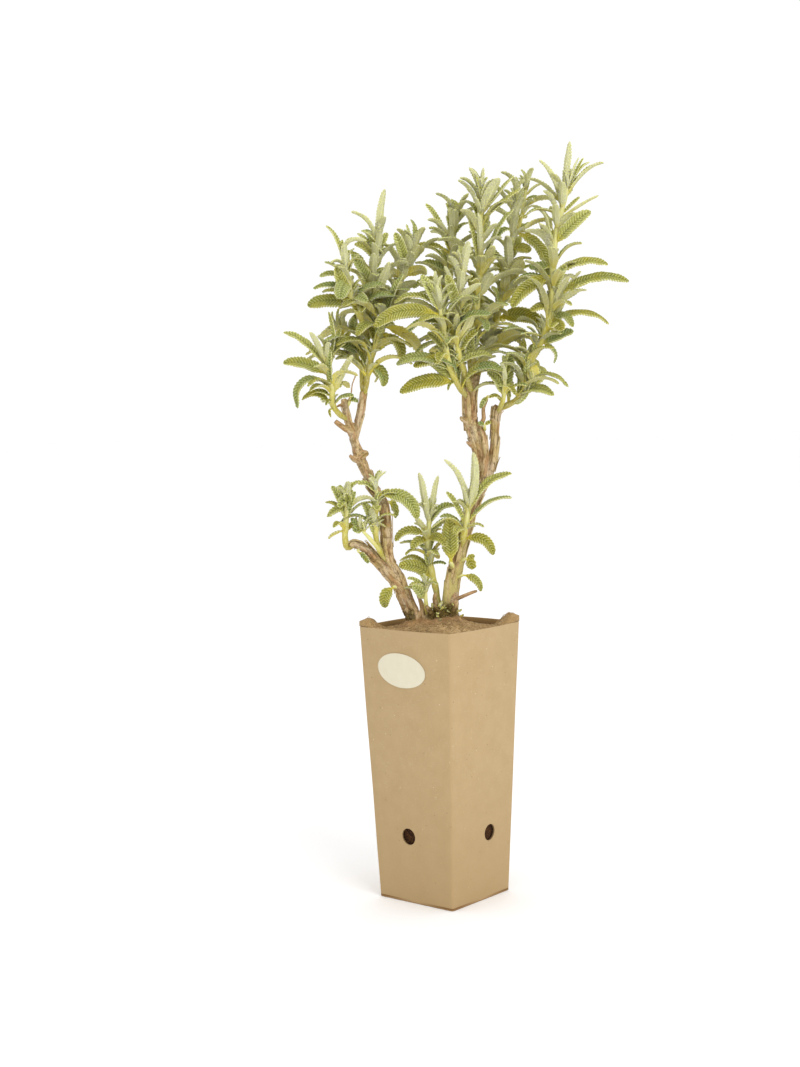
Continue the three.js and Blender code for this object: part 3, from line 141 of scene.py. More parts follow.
SHOOTS = (
    Shoot("low_branch_shoot", 3, (
        (-66, 278.5, -4, 2), (-71, 276.3, -5, 2.1), (-72.6, 284, -6, 2.4), (-72, 294, -7, 2.4),
        (-70.6, 306, -8, 2), (-69.4, 315, -8, 1.2),
    ), (
        (290, -86.5, 284, -4, 6, 2, -0.45), (294, -87, 301.5, -6, 10, 10, 0.45),
        (302, -82, 325.5, 8, 9.5, 0, 0.95), (303, -76, 326, 14, 9.5, 0, 0.95),
        (306, -77, 308.5, -14, 9, 6, 0.65), (296, -71, 320, -11, 6, 1, 0.95),
        (308, -68.5, 328.5, -2, 9, -1, -0.95), (312, -57, 329, 6, 6, 5, 0.35),
        (304, -47, 313.5, -6, 7.5, 6, -0.75), (310, -60, 318, -14, 9, 2, 0.95),
    ), Pairs(288, 306, 1, 80, 26, 7)),
    Shoot("trunk_fork_shoot", 5, (
        (-42, 266, -4, 1.6), (-48, 276.5, -11, 1.6), (-54, 284, -12, 1.4), (-59.5, 290, -12, 1),
    ), (
        (289, -66.5, 290, -3, 9, 1, 0.85), (288, -61, 297.5, -5, 9, 1, 0.85),
    )),
    Shoot("under_branch_leaf", 6, (
        (-61.5, 277, -4, 1.4), (-63, 272.5, -7, 1.2),
    ), (
        (273, -55, 264, -5, 6, -1, 0.65),
    )),
    Shoot("left_trunk_shoot", 7, (
        (-41, 268, -2, 2), (-47.6, 279, -4, 2.1), (-48.6, 297, -7, 2), (-47.4, 311, -10, 1.8),
        (-47, 322, -10, 1.2),
    ), (
        (281, -57.5, 311.5, -5, 12, 1, 0.95), (288, -52, 308, -10, 7.5, 1, -0.85),
        (315, -39.5, 336, 2, 5, 4, -0.55), (317, -15, 298, -6, 13, 9, 0.85),
        (318, -62, 327, 0, 7.5, 3, 0.65), (319, -53, 331, -6, 7.5, 1, -0.75),
    ), Pairs(300, 318, 1, -80, 24, 7)),
    Shoot("right_bud_leaf", 8, (
        (-41.5, 307, 1, 1.6), (-37.5, 312.5, 7, 1.2),
    ), (
        (312, -33, 299, 3, 12.5, 4, 0.75),
    )),
    Shoot("low_trunk_leaf", 9, (
        (-30, 243, -2, 1.5), (-36, 245.5, -8, 1.1),
    ), (
        (245, -42.5, 228, -3, 10.5, 6, 0.85),
    )),
    Shoot("stool_shoot", 10, (
        (-9.5, 222, -4, 1.6), (-10.5, 233, -12, 1.6), (-10.5, 242, -13, 1.1),
    ), (
        (240, -23.5, 246, -3, 7.5, 4, 0.45), (234, -20, 246, -8, 9, 0, 0.95), (241, -25, 252, 6, 6, 2, 0.75),
        (238, -5, 249, -8, 6, 2, 0.65),
    )),
    Shoot("centre_shoot", 11, (
        (0, 222, 1, 2.2), (-2, 240, 4, 2.3), (-4.6, 252, 4, 2.4), (-7.4, 268, 2, 2.5), (-8, 282, 0, 2.4),
        (-7, 293, 0, 1.8), (-6.5, 300, 0, 1.1),
    ), (
        (250, -31, 261.5, -8, 12.5, 5, 0.85), (254, -33, 266.5, 4, 8, 7, 0.35),
        (284, -34.5, 281.5, -4, 10, 6, 0.65), (281, -21, 274.5, -10, 9, 4, 0.75),
        (286, -17, 299, -8, 7.5, 0, -0.65), (291, -13.5, 334.5, -3, 8.2, 1.5, -0.95),
        (292, 0.5, 331.5, 3, 7.4, -1, -0.95), (289, 15, 308, 8, 11, 6, 0.75),
        (281, 6, 276.5, -24, 8.5, 5, 0.9), (262, 6, 262.5, -8, 4.5, 1, 0.45),
    ), Pairs(266, 292, 3, 90, 27, 8)),
    Shoot("right_trunk_facing_leaf", 12, (
        (12.6, 257, -2, 1.6), (9.4, 263.5, -10, 1.4),
    ), (
        (263, 9.5, 297.5, -2, 14.5, 0, 0.95),
    )),
    Shoot("right_low_bud", 13, (
        (15.5, 263, -2, 1.4), (22.5, 266.4, -8, 1.1),
    ), (
        (266, 26, 257, -3, 9, 2, 0.95), (266, 29, 267.8, 0, 4.5, 1, 0.45),
    )),
    Shoot("right_low_leaf", 14, (
        (12.4, 250, -2, 1.3), (19.5, 253.4, -8, 1),
    ), (
        (253, 33.4, 239.5, -3, 8, 6, 0.65),
    )),
    Shoot("right_young_shoot", 15, (
        (18, 275, -2, 2.6), (20.5, 286, -9, 2.6), (23, 298, -10, 2.3), (24.4, 311, -10, 1.3),
    ), (
        (284, -6, 291.5, -8, 8, 12, -0.55), (290, 7.5, 319, -3, 7.5, 2, 0.65),
        (294, 6.5, 344.5, 0, 8.4, 5, -0.85), (297, 29, 348.5, 5, 10.4, 3, -0.95),
        (299, 58.5, 332.5, -6, 10.5, 7, 0.75), (292, 58, 314.5, -10, 9, 5, 0.55),
        (300, 30, 331, -11, 6, 1, -0.75), (281, 44, 268, -6, 9.5, 9, 0.65),
    ), Pairs(284, 304, 2, -90, 30, 8)),
    Shoot("left_crown_low_shoot", 16, (
        (-68.2, 376, -1, 1.8), (-75, 381, -8, 2), (-79.6, 388, -12, 2.3), (-80, 398, -16, 2.5),
        (-82, 410, -18, 2.3), (-83.5, 420, -18, 1.8), (-84, 428, -18, 1.2),
    ), (
        (406, -108, 385.5, -8, 10.5, 13, 0.55), (393, -99, 396, -3, 6, 5, 0.35),
        (391, -85.5, 387.5, -5, 3.5, 3, 0.55), (384, -81.5, 378, -6, 3, 5, 0.15),
        (411, -117.5, 421.5, -5, 12.5, 3, 0.95), (414, -116.5, 446, 4, 10, 5, 0.65),
        (417, -96, 445.5, -10, 7.5, 1, -0.75), (420, -82.5, 459.5, 2, 7.5, -5, 0.35),
        (418, -71.5, 447, 5, 9, -1, 0.75), (396, -59, 411, -8, 9, 10, -0.65),
        (394, -72, 427, -14, 7.5, 1, -0.95), (400, -77, 430, -17, 6, 0, 0.95),
    ), Pairs(396, 420, 3, 85, 30, 8)),
    Shoot("left_fork_leaves", 18, (
        (-69, 385, -1, 1.2), (-66, 391, -5, 1),
    ), (
        (390, -60, 389.5, -4, 5, 3, 0.55), (390, -64, 396, -3, 4.5, 1, 0.55),
    )),
    Shoot("left_crown_main_shoot", 19, (
        (-55.4, 394, 3, 2.2), (-56.4, 412, 4, 2), (-54.2, 428, 4, 1.9), (-52, 443, 4, 1.9),
        (-50, 460, 4, 1.9), (-47, 480, 4, 1.8), (-43.4, 500, 3, 1.6), (-42, 514, 3, 1),
    ), (
        (506, -36, 552.5, 3, 10, 3, -0.95), (506, -62, 537, -4, 7.5, 6, -0.45),
        (511, -54, 522.5, -9, 5, 1, 0.45), (502, -57, 520.5, 3, 7.5, 0, 0.65),
        (499, -60, 511.5, -7, 9, 2, 0.85), (478, -62, 503.5, -15, 14, -1, 0.95),
        (482, -45, 505, -13, 10, 0, -0.75), (496, -38, 505, -9, 8, 6, -0.45),
        (464, -33.5, 497.5, -11, 9, -2, -0.95), (499, -34.5, 520, 6, 9, 1, 0.65),
        (452, -50, 431, -14, 6, 0, 0.65), (428, -75, 437.5, -8, 12.5, 2, 0.95),
    ), Pairs(450, 502, 5, 90, 34, 9), filled=0.12),
    Shoot("left_crown_outer_shoot", 20, (
        (-51.8, 441, 3, 2), (-57, 456, -10, 2.3), (-63, 470, -17, 2.4), (-66, 484, -22, 2.1),
        (-67.6, 497, -22, 1.2),
    ), (
        (464, -98, 465.5, -6, 12.5, 5, 0.65), (470, -74, 494.5, -14, 14, -3, 0.95),
        (478, -93, 478.5, -2, 8, 3, 0.55), (486, -88, 488, 6, 9, 2, 0.35), (492, -80, 527.5, 3, 8, 2, 0.45),
        (492, -50, 514.5, -4, 7.5, 11, -0.35), (494, -79, 497.5, -7, 6, 3, 0.15),
        (489, -69.5, 515.5, 9, 6, 1, 0.35), (482, -72, 470, -22, 14, 4, 0.95),
        (458, -58, 486, -8, 8, -1, -0.9),
    ), Pairs(462, 488, 3, 90, 30, 8), filled=0.12),
    Shoot("left_crown_side_shoot", 21, (
        (-52, 441, 5, 1.4), (-60, 444.5, 12, 1.4), (-69, 446, 16, 1.2), (-73, 447, 18, 1.2),
    ), (
        (447, -81, 446.5, -4, 7.5, 4, 0.55), (446, -77, 435.5, -6, 10, 1, -0.75),
        (446, -71, 456.5, -3, 6, 0, -0.55), (445, -61, 454, -10, 10, 1, 0.95),
        (444.5, -58, 461, 4, 9, 1, 0.55), (445.5, -66, 437, -7, 9, 2, 0.75),
    )),
    Shoot("left_crown_inner_shoot", 22, (
        (-54.6, 396, 1, 1.8), (-51, 415, -3, 2), (-46.6, 430, -8, 2), (-42, 443, -10, 1.9),
        (-37.5, 456, -5, 1.8), (-31, 470, 5, 1.8), (-24, 484, 12, 1.7), (-18, 497, 18, 1.5),
        (-15, 508, 20, 1.2),
    ), (
        (442, -25.5, 420.5, -7, 10.5, 7, 0.75), (448, -9, 419, -3, 12.5, 8, -0.65),
        (452, -24, 488, -9, 10, -2, 0.75), (483, -36, 484, -9, 10, 5, -0.65),
        (485, -3, 488, -12, 10, 6, -0.55), (492, -28, 519.5, -11, 13, 0, 0.95),
        (500, -18.5, 526, 2, 7, 0, 0.65), (501, -14.5, 524.5, 6, 6, 0, 0.65),
        (488, -15.5, 505, -12, 11, 1, -0.95), (418, -40, 401, -2, 11, 6, 0.75),
        (416, -46, 404, 6, 9, 4, 0.55),
    ), Pairs(446, 498, 4, 90, 32, 9), filled=0.12),
    Shoot("middle_crown_front_shoot", 23, (
        (25, 392, -2, 2), (18.6, 400, -11, 2.2), (13, 412, -20, 2.2), (9.6, 425, -29, 2.2),
        (8, 438, -32, 2.1), (6.6, 450, -34, 1.9), (5, 462, -34, 1.5), (3.4, 471, -34, 1.2),
    ), (
        (403, -28, 396.5, -6, 12.5, 7, 0.95), (413, -2.5, 418.5, -4, 7, 2, 0.55),
        (421, -17, 416.5, -3, 10, 4, 0.85), (428, -5, 443, 5, 7.5, 1, 0.75), (402, 9.5, 397, -8, 3, 4, 0.15),
        (448, -20, 443.5, -6, 10, 6, 0.45), (455, -46.5, 449, -6, 14, 9, 0.9),
        (460, -31, 466, 3, 11, 7, 0.45), (456, -8.5, 487, -5, 11, 1, 0.95),
        (462, 1, 489.5, 3, 7.5, 0, -0.75), (460, 2.5, 479, -9, 8, -1, -0.85),
    ), Pairs(420, 456, 3, -90, 28, 8), filled=0.3),
    Shoot("middle_crown_back_shoot", 24, (
        (25, 394, 4, 2), (17.5, 413, 14, 2), (12, 432, 24, 2), (8.6, 450, 32, 2), (8.6, 468, 35, 1.9),
        (12, 487, 35, 1.8), (15, 505, 35, 1.7), (16.4, 521, 35, 1.4), (17, 531, 35, 1.2),
    ), (
        (500, -3.5, 542, 3, 9, 2, 0.65), (507, -8, 529.5, -6, 7.5, 5, -0.35),
        (502, -19, 504, -9, 9, 8, 0.55), (490, -6, 502, -9, 7.5, 3, -0.45), (487, -8, 497, -3, 10, 2, 0.75),
        (512, 14, 538, -8, 10, 1, -0.85), (526, 11.5, 541.5, 0, 4.5, 0, 0.45),
        (515, 28, 549, -3, 9.5, 3, 0.55), (518, 22, 536, -6, 7.5, 1, 0.75), (478, -16, 477, -4, 10, 5, 0.65),
    ), Pairs(446, 516, 6, 90, 33, 9), filled=0.3),
    Shoot("middle_crown_near_shoot", 25, (
        (28, 397, -3, 2.3), (23, 411, -13, 2.4), (18.6, 425, -20, 2.4), (18, 440, -24, 2.3),
        (19, 456, -24, 2.1), (20.6, 472, -22, 1.8), (21.6, 485, -21, 1.2), (22, 492, -21, 1.2),
    ), (
        (455, 10.5, 486.5, -8, 12.5, 0, 0.95), (466, 9.5, 493.5, 0, 7.5, 0, -0.65),
        (476, 20, 505.5, 1, 7, 1, -0.75), (477, 28, 512, -5, 10.5, 1, -0.95),
        (441, 33, 481, -11, 9, 8, -0.85), (428, 5.5, 440.5, -9, 10, 1, -0.85),
        (430, 12, 457, -13, 8, 0, -0.95), (434, 17, 459, -17, 8, 0, -0.95), (420, 10, 427, -8, 6, 1, 0.65),
        (426, 30, 444, -12, 10, 2, 0.75),
    ), Pairs(430, 470, 3, -90, 26, 8), filled=0.3),
    Shoot("middle_crown_main_shoot", 26, (
        (29, 398, 0, 2.6), (28.6, 418, 0, 3), (30, 434, 0, 3.1), (32, 450, 1, 3.1), (33.5, 468, 2, 3),
        (36, 486, 3, 2.8), (37, 505, 4, 2.5), (37.5, 522, 4, 2.1), (38, 536, 4, 1.7), (38.5, 545, 4, 1),
    ), (
        (532, 30, 568.5, -2, 7.5, 4, -0.65), (538, 40.5, 567.5, 1, 6, 0, -0.85),
        (529, 53, 559.5, -9, 14, 2, -0.95), (534, 62.5, 562.5, 3, 7, -1, 0.35),
        (528, 67.5, 552.5, -5, 7.5, -1, 0.45), (484, 61, 537, -6, 10, 2, 0.55),
        (482, 48, 509, -13, 9, 2, -0.85), (488, 28.5, 532, -3, 8, 0, 0.75),
        (492, 32.5, 533.5, -7, 7, 0, -0.65), (466, 46, 488, -13, 10, 1, -0.75),
        (446, 43, 462, -14, 10, 2, 0.65), (442, 22, 462, -10, 10, 0, -0.85), (532, 34, 546, -8, 6, 0, 0.45),
    ), Pairs(446, 528, 5, 90, 32, 9), filled=0.3),
    Shoot("middle_crown_right_shoot", 27, (
        (30, 396, 4, 2.2), (36, 418, 14, 2.4), (43.6, 438, 21, 2.6), (50.6, 458, 25, 2.6),
        (56, 476, 25, 2.4), (59.6, 494, 23, 2.1), (62, 515, 23, 1.9), (64, 530, 23, 1.7),
        (65.6, 540, 23, 1.2),
    ), (
        (532, 60.6, 543.5, -3, 5, 0, 0.45), (520, 50, 513, -8, 7.5, 4, 0.45),
        (518, 89, 484, -6, 13, 8, 0.75), (514, 76, 515.5, 5, 7.5, 4, -0.35),
        (505, 75.5, 503, -9, 11, 2, 0.85), (484, 57.5, 515.5, -10, 11, 0, -0.95),
        (476, 70.5, 496.5, -9, 12, 1, -0.95), (470, 56, 492, -15, 10, 0, -0.95),
        (452, 84, 447, -13, 14, 7, 0.95), (444, 65, 418, -15, 9, 12, -0.45),
        (446, 68.5, 419, -6, 8, 12, 0.35), (438, 71.5, 429, 3, 9, 5, 0.45), (462, 46, 476, -16, 10, 1, 0.75),
    ), Pairs(446, 512, 5, 90, 33, 9), filled=0.3),
    Shoot("crown_star_shoot", 28, (
        (61.2, 508, 22, 1.6), (66, 520, 31, 1.6), (70, 533, 36, 1.5), (72, 545, 38, 1.4), (73, 550, 38, 1.2),
    ), (
        (541, 66, 560.5, -1, 6, -1, 0.55), (546, 75.5, 557.5, 2, 4, 0, 0.45),
        (545, 84.5, 555, -2, 6, 1, 0.35), (542, 86, 542, -5, 8, 3, 0.55), (547, 71, 556, 2, 4, 0, 0.45),
        (530, 77, 538.5, -6, 9, 1, 0.45),
    ), Pairs(526, 544, 1, 90, 16, 5)),
    Shoot("right_trunk_shoot", 29, (
        (48.5, 380, -1, 1.7), (52.6, 389, -10, 1.7), (54, 400, -15, 1.6), (54.6, 411, -18, 1.2),
    ), (
        (389, 59, 425, -4, 12, -6, 0.95), (391, 41, 411.5, -3, 9.5, 2, 0.85),
        (400, 52, 418, -8, 7.5, 0, -0.85), (388, 41, 391, -5, 3.5, 4, 0.35),
    ), Pairs(394, 406, 1, 90, 24, 7)),
    Shoot("strand_sprout", 30, (
        (38, 366, -2, 1.2), (38, 371, -7, 1),
    ), (
        (370, 32.5, 371.5, -2, 4, 1, 0.55), (370, 43.5, 372, -1, 4, 1, 0.55),
    )),
    Shoot("twig_tip_leaves", 31, (
        (39.4, 389, -3, 1.1), (41, 393, -7, 0.9),
    ), (
        (392, 34.5, 382.5, -2, 4.5, 5, 0.65), (392, 51, 388, -2, 3.5, 4, 0.35),
    )),
    Shoot("right_crown_shoot", 32, (
        (49.5, 382, 2, 2.2), (57, 385.5, -3, 2.2), (64, 389.6, -8, 2.1), (69, 397, -10, 2.1),
        (70.6, 407, -10, 2.1), (74.4, 417, -10, 2.2), (80.4, 429, -10, 2.4), (87, 442, -10, 2.6),
        (91, 456, -10, 2.7), (92, 472, -10, 2.6), (93, 490, -10, 2.4), (94.4, 508, -8, 2.2),
        (98, 526, -5, 2.1), (102.4, 541, -3, 1.8), (105, 551, -3, 1.2),
    ), (
        (541, 108, 585.5, 2, 9, -2, -0.75), (544, 132.5, 571.5, -3, 9, 3, 0.35),
        (547, 124, 572.5, 6, 5, 2, 0.15), (548, 117, 574, 2, 4.5, 0, 0.45),
        (548, 113, 574.5, -3, 4, 0, 0.45), (534, 84.5, 573.5, 0, 7.5, 3, -0.65),
        (541, 100, 555, -4, 4.5, 0, 0.15), (531, 72, 532.5, -8, 7, 4, 0.25), (527, 71, 521, 2, 6, 3, -0.35),
        (508, 122, 533, -12, 14, 1, 0.95), (528, 128, 545.5, 3, 6, -1, -0.45),
        (530, 114, 544.5, 7, 5, 0, 0.45), (506, 87.5, 534, -6, 9, -1, 0.65),
        (484, 136, 492.5, -4, 12.5, 6, 0.65), (466, 152.5, 480, 3, 12, 8, 0.65),
        (455, 111.5, 478, -6, 8, -1, 0.45), (452, 113, 488, 5, 8, 1, -0.65), (450, 137, 447, 4, 10, 8, 0.55),
        (446, 108.5, 444.5, -12, 9.5, 9, 0.75), (431, 108, 441.5, -7, 12, 1, 0.85),
        (433, 94, 416, 3, 7.5, 6, 0.55), (448, 99, 442, -18, 11, 2, 0.95),
        (484, 60.5, 461, -10, 14, 3, 0.95), (480, 62, 467, 1, 9, 3, 0.75), (477, 61, 479, 6, 7.5, 7, 0.45),
        (458, 74.5, 457.5, -4, 9, 3, 0.65), (437, 66, 441, -9, 6, 1, -0.35),
        (416, 76, 402.5, -8, 11, 2, -0.95), (413, 76, 431, 5, 9, 1, 0.85), (490, 74, 491, 5, 10, 2, 0.75),
        (472, 103, 492, -15, 11, 0, 0.95), (452, 103, 484, -11, 8, 1, -0.75),
    ), Pairs(440, 534, 7, 90, 34, 9), filled=0.3),
)


def place(x: float, z: float, depth: float) -> np.ndarray:
    """A point seen at x and z in the measuring plane, set at its depth along the line of sight."""
    share = depth / -EYE[1]
    return np.array([x + (x - EYE[0]) * share, depth, z + (z - EYE[2]) * share])


def seen_height(points: np.ndarray) -> np.ndarray:
    """The height in the measuring plane at which each point is seen."""
    share = points[..., 1] / -EYE[1]
    return (points[..., 2] + EYE[2] * share) / (1 + share)


def to_pot(points: np.ndarray) -> np.ndarray:
    """Points of the plant's own frame in the pot's, both in millimetres."""
    return points @ np.array(Matrix.Rotation(PLANT_TURN, 3, "Z")).T


def from_pot(points: np.ndarray) -> np.ndarray:
    """Points of the pot's frame in the plant's own, both in millimetres."""
    return points @ np.array(Matrix.Rotation(PLANT_TURN, 3, "Z"))


def unit(vectors: np.ndarray) -> np.ndarray:
    """Vectors scaled to length one."""
    return vectors / np.maximum(np.linalg.norm(vectors, axis=-1, keepdims=True), 1e-12)


def smooth(low: float, high: float, values: np.ndarray) -> np.ndarray:
    """A soft step from 0 at low to 1 at high."""
    share = np.clip((values - low) / (high - low), 0, 1)
    return share * share * (3 - 2 * share)


def blend(low: float, high: float, share: float) -> float:
    """The value that lies that share of the way from low to high."""
    return (1 - share) * low + share * high


def heading(bearing: float, slope: float) -> np.ndarray:
    """The direction with a bearing round the upright and a slope above the level."""
    level = math.cos(slope)
    return np.array([math.cos(bearing) * level, math.sin(bearing) * level, math.sin(slope)])


def linear(code: str) -> tuple[float, ...]:
    """An sRGB hex colour as linear red, green, blue and alpha."""
    parts = [int(code[i : i + 2], 16) / 255 for i in (1, 3, 5)]
    return (*[c / 12.92 if c <= 0.04045 else ((c + 0.055) / 1.055) ** 2.4 for c in parts], 1.0)


def noise_at(points: np.ndarray, size: tuple[float, float, float]) -> np.ndarray:
    """Smooth noise from about -1 to 1, with cells of the given size in millimetres."""
    return np.array([noise.noise(Vector(point)) for point in (points / np.array(size)).tolist()])


def around(across: np.ndarray, over: np.ndarray, angle: np.ndarray) -> np.ndarray:
    """Directions at angles round a line, a row of them for each of its points."""
    angle = np.broadcast_to(angle, (len(across), angle.shape[-1]))[..., None]
    return across[:, None] * np.cos(angle) + over[:, None] * np.sin(angle)


def circle(count: int) -> np.ndarray:
    """Even angles round a circle."""
    return np.arange(count) / count * 2 * np.pi


def rows_of(shape: tuple[int, int], *parts: object) -> np.ndarray:
    """Parts spread over a grid of points and set side by side, a row for each point."""
    return np.stack([np.broadcast_to(part, shape) for part in parts], axis=-1).reshape(-1, len(parts))


def tree_of(points: np.ndarray) -> KDTree:
    """A tree that finds the nearest of the points.

    Args:
        points: The points, a row each.

    Returns:
        The tree, with the points' row numbers.
    """
    tree = KDTree(len(points))
    for index, point in enumerate(points):
        tree.insert(point, index)
    tree.balance()
    return tree


def read(items: object, name: str) -> np.ndarray:
    """Three numbers of each item of a mesh.

    Args:
        items: The mesh's vertices, its normals or the data of one of its fields.
        name: Which of the items' values.

    Returns:
        A row for each item.
    """
    values = np.empty(len(items) * 3, np.float32)
    items.foreach_get(name, values)
    return values.reshape(-1, 3).astype(float)


def set_field(mesh: Mesh, name: str, rows: np.ndarray) -> None:
    """Gives a mesh a field of three numbers for each vertex."""
    data = mesh.attributes.new(name, "FLOAT_VECTOR", "POINT").data
    data.foreach_set("vector", rows.astype(np.float32).ravel())


class Draws:
    """A small generator of even draws from 0 to 1, the same as in the part's source."""

    def __init__(self, seed: int) -> None:
        """Starts from a seed."""
        self.state = seed

    def next(self) -> float:
        """The next draw."""
        self.state = (self.state * 1664525 + 1013904223) % 4294967296
        return self.state / 4294967296

    def stray(self, most: float) -> float:
        """The next draw, spread evenly from -most to most."""
        return (2 * self.next() - 1) * most

    def strays(self, most: float) -> np.ndarray:
        """A direction's three strays."""
        return np.array([self.stray(most) for _ in range(3)])


@dataclass
class Patch:
    """A closed body under construction: vertices, faces and the fields that its material reads.

    Args:
        points: Vertices in millimetres in the plant's own frame.
        faces: Quads and closing faces.
        fields: A row of three numbers for each vertex, by field name.
        finish: Index of the body's material slot.
    """

    points: np.ndarray
    faces: list
    fields: dict[str, np.ndarray] = field(default_factory=dict)
    finish: int = 0


def ring_faces(rows: int, count: int) -> list:
    """The faces of a tube of rings, closed at both ends.

    Args:
        rows: How many rings.
        count: Points in a ring.

    Returns:
        The faces, for points that go ring by ring.
    """
    row, column = np.meshgrid(np.arange(rows - 1), np.arange(count), indexing="ij")
    a = row * count + column
    b = row * count + (column + 1) % count
    quads = np.stack([a, b, b + count, a + count], axis=-1).reshape(-1, 4).tolist()
    return [*quads, list(range(count))[::-1], [(rows - 1) * count + k for k in range(count)]]


def make_piece(name: str, patches: list[Patch], finishes: list[Material]) -> Object:
    """One object from patches, with their fields as attributes and each patch in its material slot.

    Args:
        name: The piece's name.
        patches: Bodies in the plant's frame.
        finishes: The piece's materials, in slot order.

    Returns:
        The linked object, at the origin.
    """
    starts = np.cumsum([0, *[len(patch.points) for patch in patches]]).tolist()
    faces = [[corner + start for corner in face]
             for patch, start in zip(patches, starts) for face in patch.faces]
    mesh = bpy.data.meshes.new(name)
    mesh.from_pydata((to_pot(np.concatenate([patch.points for patch in patches])) * MM).tolist(), [], faces)
    for key in patches[0].fields:
        set_field(mesh, key, np.concatenate([patch.fields[key] for patch in patches]))
    mesh.polygons.foreach_set("material_index", [patch.finish for patch in patches for _ in patch.faces])
    mesh.shade_smooth()
    mesh.update()
    piece = bpy.data.objects.new(name, mesh)
    bpy.context.scene.collection.objects.link(piece)
    for finish in finishes:
        mesh.materials.append(finish)
    return piece


def applied(piece: Object) -> None:
    """Turns a piece's modifiers into mesh.

    Args:
        piece: The piece.
    """
    raw, name = piece.data, piece.data.name
    mesh = bpy.data.meshes.new_from_object(piece.evaluated_get(bpy.context.evaluated_depsgraph_get()))
    piece.modifiers.clear()
    piece.data = mesh
    bpy.data.meshes.remove(raw)
    mesh.name = name


def settle(piece: Object, slot: str, *nodes: str) -> None:
    """Lets a piece ride on the part and stand for CAD nodes where it replaces them, and logs its triangles
    and slot.

    Args:
        piece: The piece.
        slot: Its slot.
        nodes: The CAD nodes that it replaces.
    """
    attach(piece, "root")
    if nodes:
        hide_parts(*nodes)
    triangles = sum(len(face.vertices) - 2 for face in piece.data.polygons)
    log.info("%s: %d triangles, slot %s", piece.name, triangles, slot)


class Line:
    """A smooth curve through rows of (x, z, depth, radius)."""

    def __init__(self, rows: tuple) -> None:
        """Keeps the rows' places and radii.

        Args:
            rows: The rows, from the curve's start to its end.
        """
        self.radii = np.array([row[3] for row in rows], float)
        places = np.array([place(x, z, depth) for x, z, depth, _ in rows])
        self.ends = np.vstack([2 * places[0] - places[1], places, 2 * places[-1] - places[-2]])

    def split(self, t: np.ndarray) -> tuple[np.ndarray, np.ndarray]:
        """Finds the stretch of the curve that each parameter falls in.

        Args:
            t: Parameters from 0 to 1.

        Returns:
            The number of each one's stretch, and how far along it that one is.
        """
        at = np.asarray(t, float) * (len(self.radii) - 1)
        low = np.minimum(np.floor(at).astype(int), len(self.radii) - 2)
        return low, at - low

    def point(self, t: np.ndarray) -> np.ndarray:
        """Points on the curve.

        Args:
            t: Parameters from 0 to 1.

        Returns:
            A point for each.
        """
        low, w = self.split(t)
        w = w[..., None]
        before, start, end, after = (self.ends[low + k] for k in range(4))
        leave, arrive = (end - before) / 2, (after - start) / 2
        square = -3 * start + 3 * end - 2 * leave - arrive
        return start + leave * w + square * w**2 + (2 * start - 2 * end + leave + arrive) * w**3

    def tangent(self, t: np.ndarray) -> np.ndarray:
        """Unit directions along the curve."""
        t = np.asarray(t, float)
        return unit(self.point(np.minimum(t + 1e-4, 1)) - self.point(np.maximum(t - 1e-4, 0)))

    def radius(self, t: np.ndarray) -> np.ndarray:
        """Radii along the curve."""
        low, w = self.split(t)
        return self.radii[low] * (1 - w) + self.radii[low + 1] * w

    def at_height(self, height: float) -> float:
        """The parameter at which the curve first passes a seen height.

        Args:
            height: The seen height.

        Returns:
            The nearest of the tried parameters.
        """
        best, nearest = 0.0, math.inf
        tries = np.linspace(0, 1, 121)
        for t, miss in zip(tries, np.abs(seen_height(self.point(tries)) - height)):
            if miss < nearest - 1e-6:
                best, nearest = float(t), float(miss)
        return best

    def gone(self, t: np.ndarray) -> np.ndarray:
        """The distance of each of a row of parameters from the first."""
        steps = np.linalg.norm(np.diff(self.point(t), axis=0), axis=1)
        return np.concatenate([[0], np.cumsum(steps)])

    def length(self) -> float:
        """Length along the curve."""
        return float(self.gone(np.linspace(0, 1, 200))[-1])

    def even(self, step: float) -> tuple[np.ndarray, np.ndarray]:
        """Even steps along the curve.

        Args:
            step: The step's length, about.

        Returns:
            The steps' parameters, and the distance of each from the start.
        """
        t = np.linspace(0, 1, 400)
        gone = self.gone(t)
        stops = np.linspace(0, gone[-1], max(4, round(gone[-1] / step) + 1))
        return np.interp(stops, gone, t), stops

    def frames(self, t: np.ndarray) -> tuple[np.ndarray, np.ndarray, np.ndarray]:
        """Directions along and across the curve that turn no more than it does.

        Args:
            t: Parameters in order.

        Returns:
            Directions along, across and over the curve.
        """
        along = self.tangent(t)
        start = np.array([1.0, 0.0, 0.0] if abs(along[0][1]) > 0.9 else [0.0, -1.0, 0.0])
        across = [unit(start - along[0] * (start @ along[0]))]
        for direction in along[1:]:
            across.append(unit(across[-1] - direction * (across[-1] @ direction)))
        return along, np.array(across), np.cross(along, np.array(across))


def outline(s: np.ndarray) -> np.ndarray:
    """Half width of a leaf along its length, as a share of the widest: a stalk, then a blunt blade."""
    blunt = np.maximum(1 - (np.maximum(s - 0.45, 0) / 0.55) ** 2.9, 0) ** 0.5
    return np.maximum(0.2 - 0.06 * s, smooth(0.02, 0.34, s) ** 0.75) * blunt


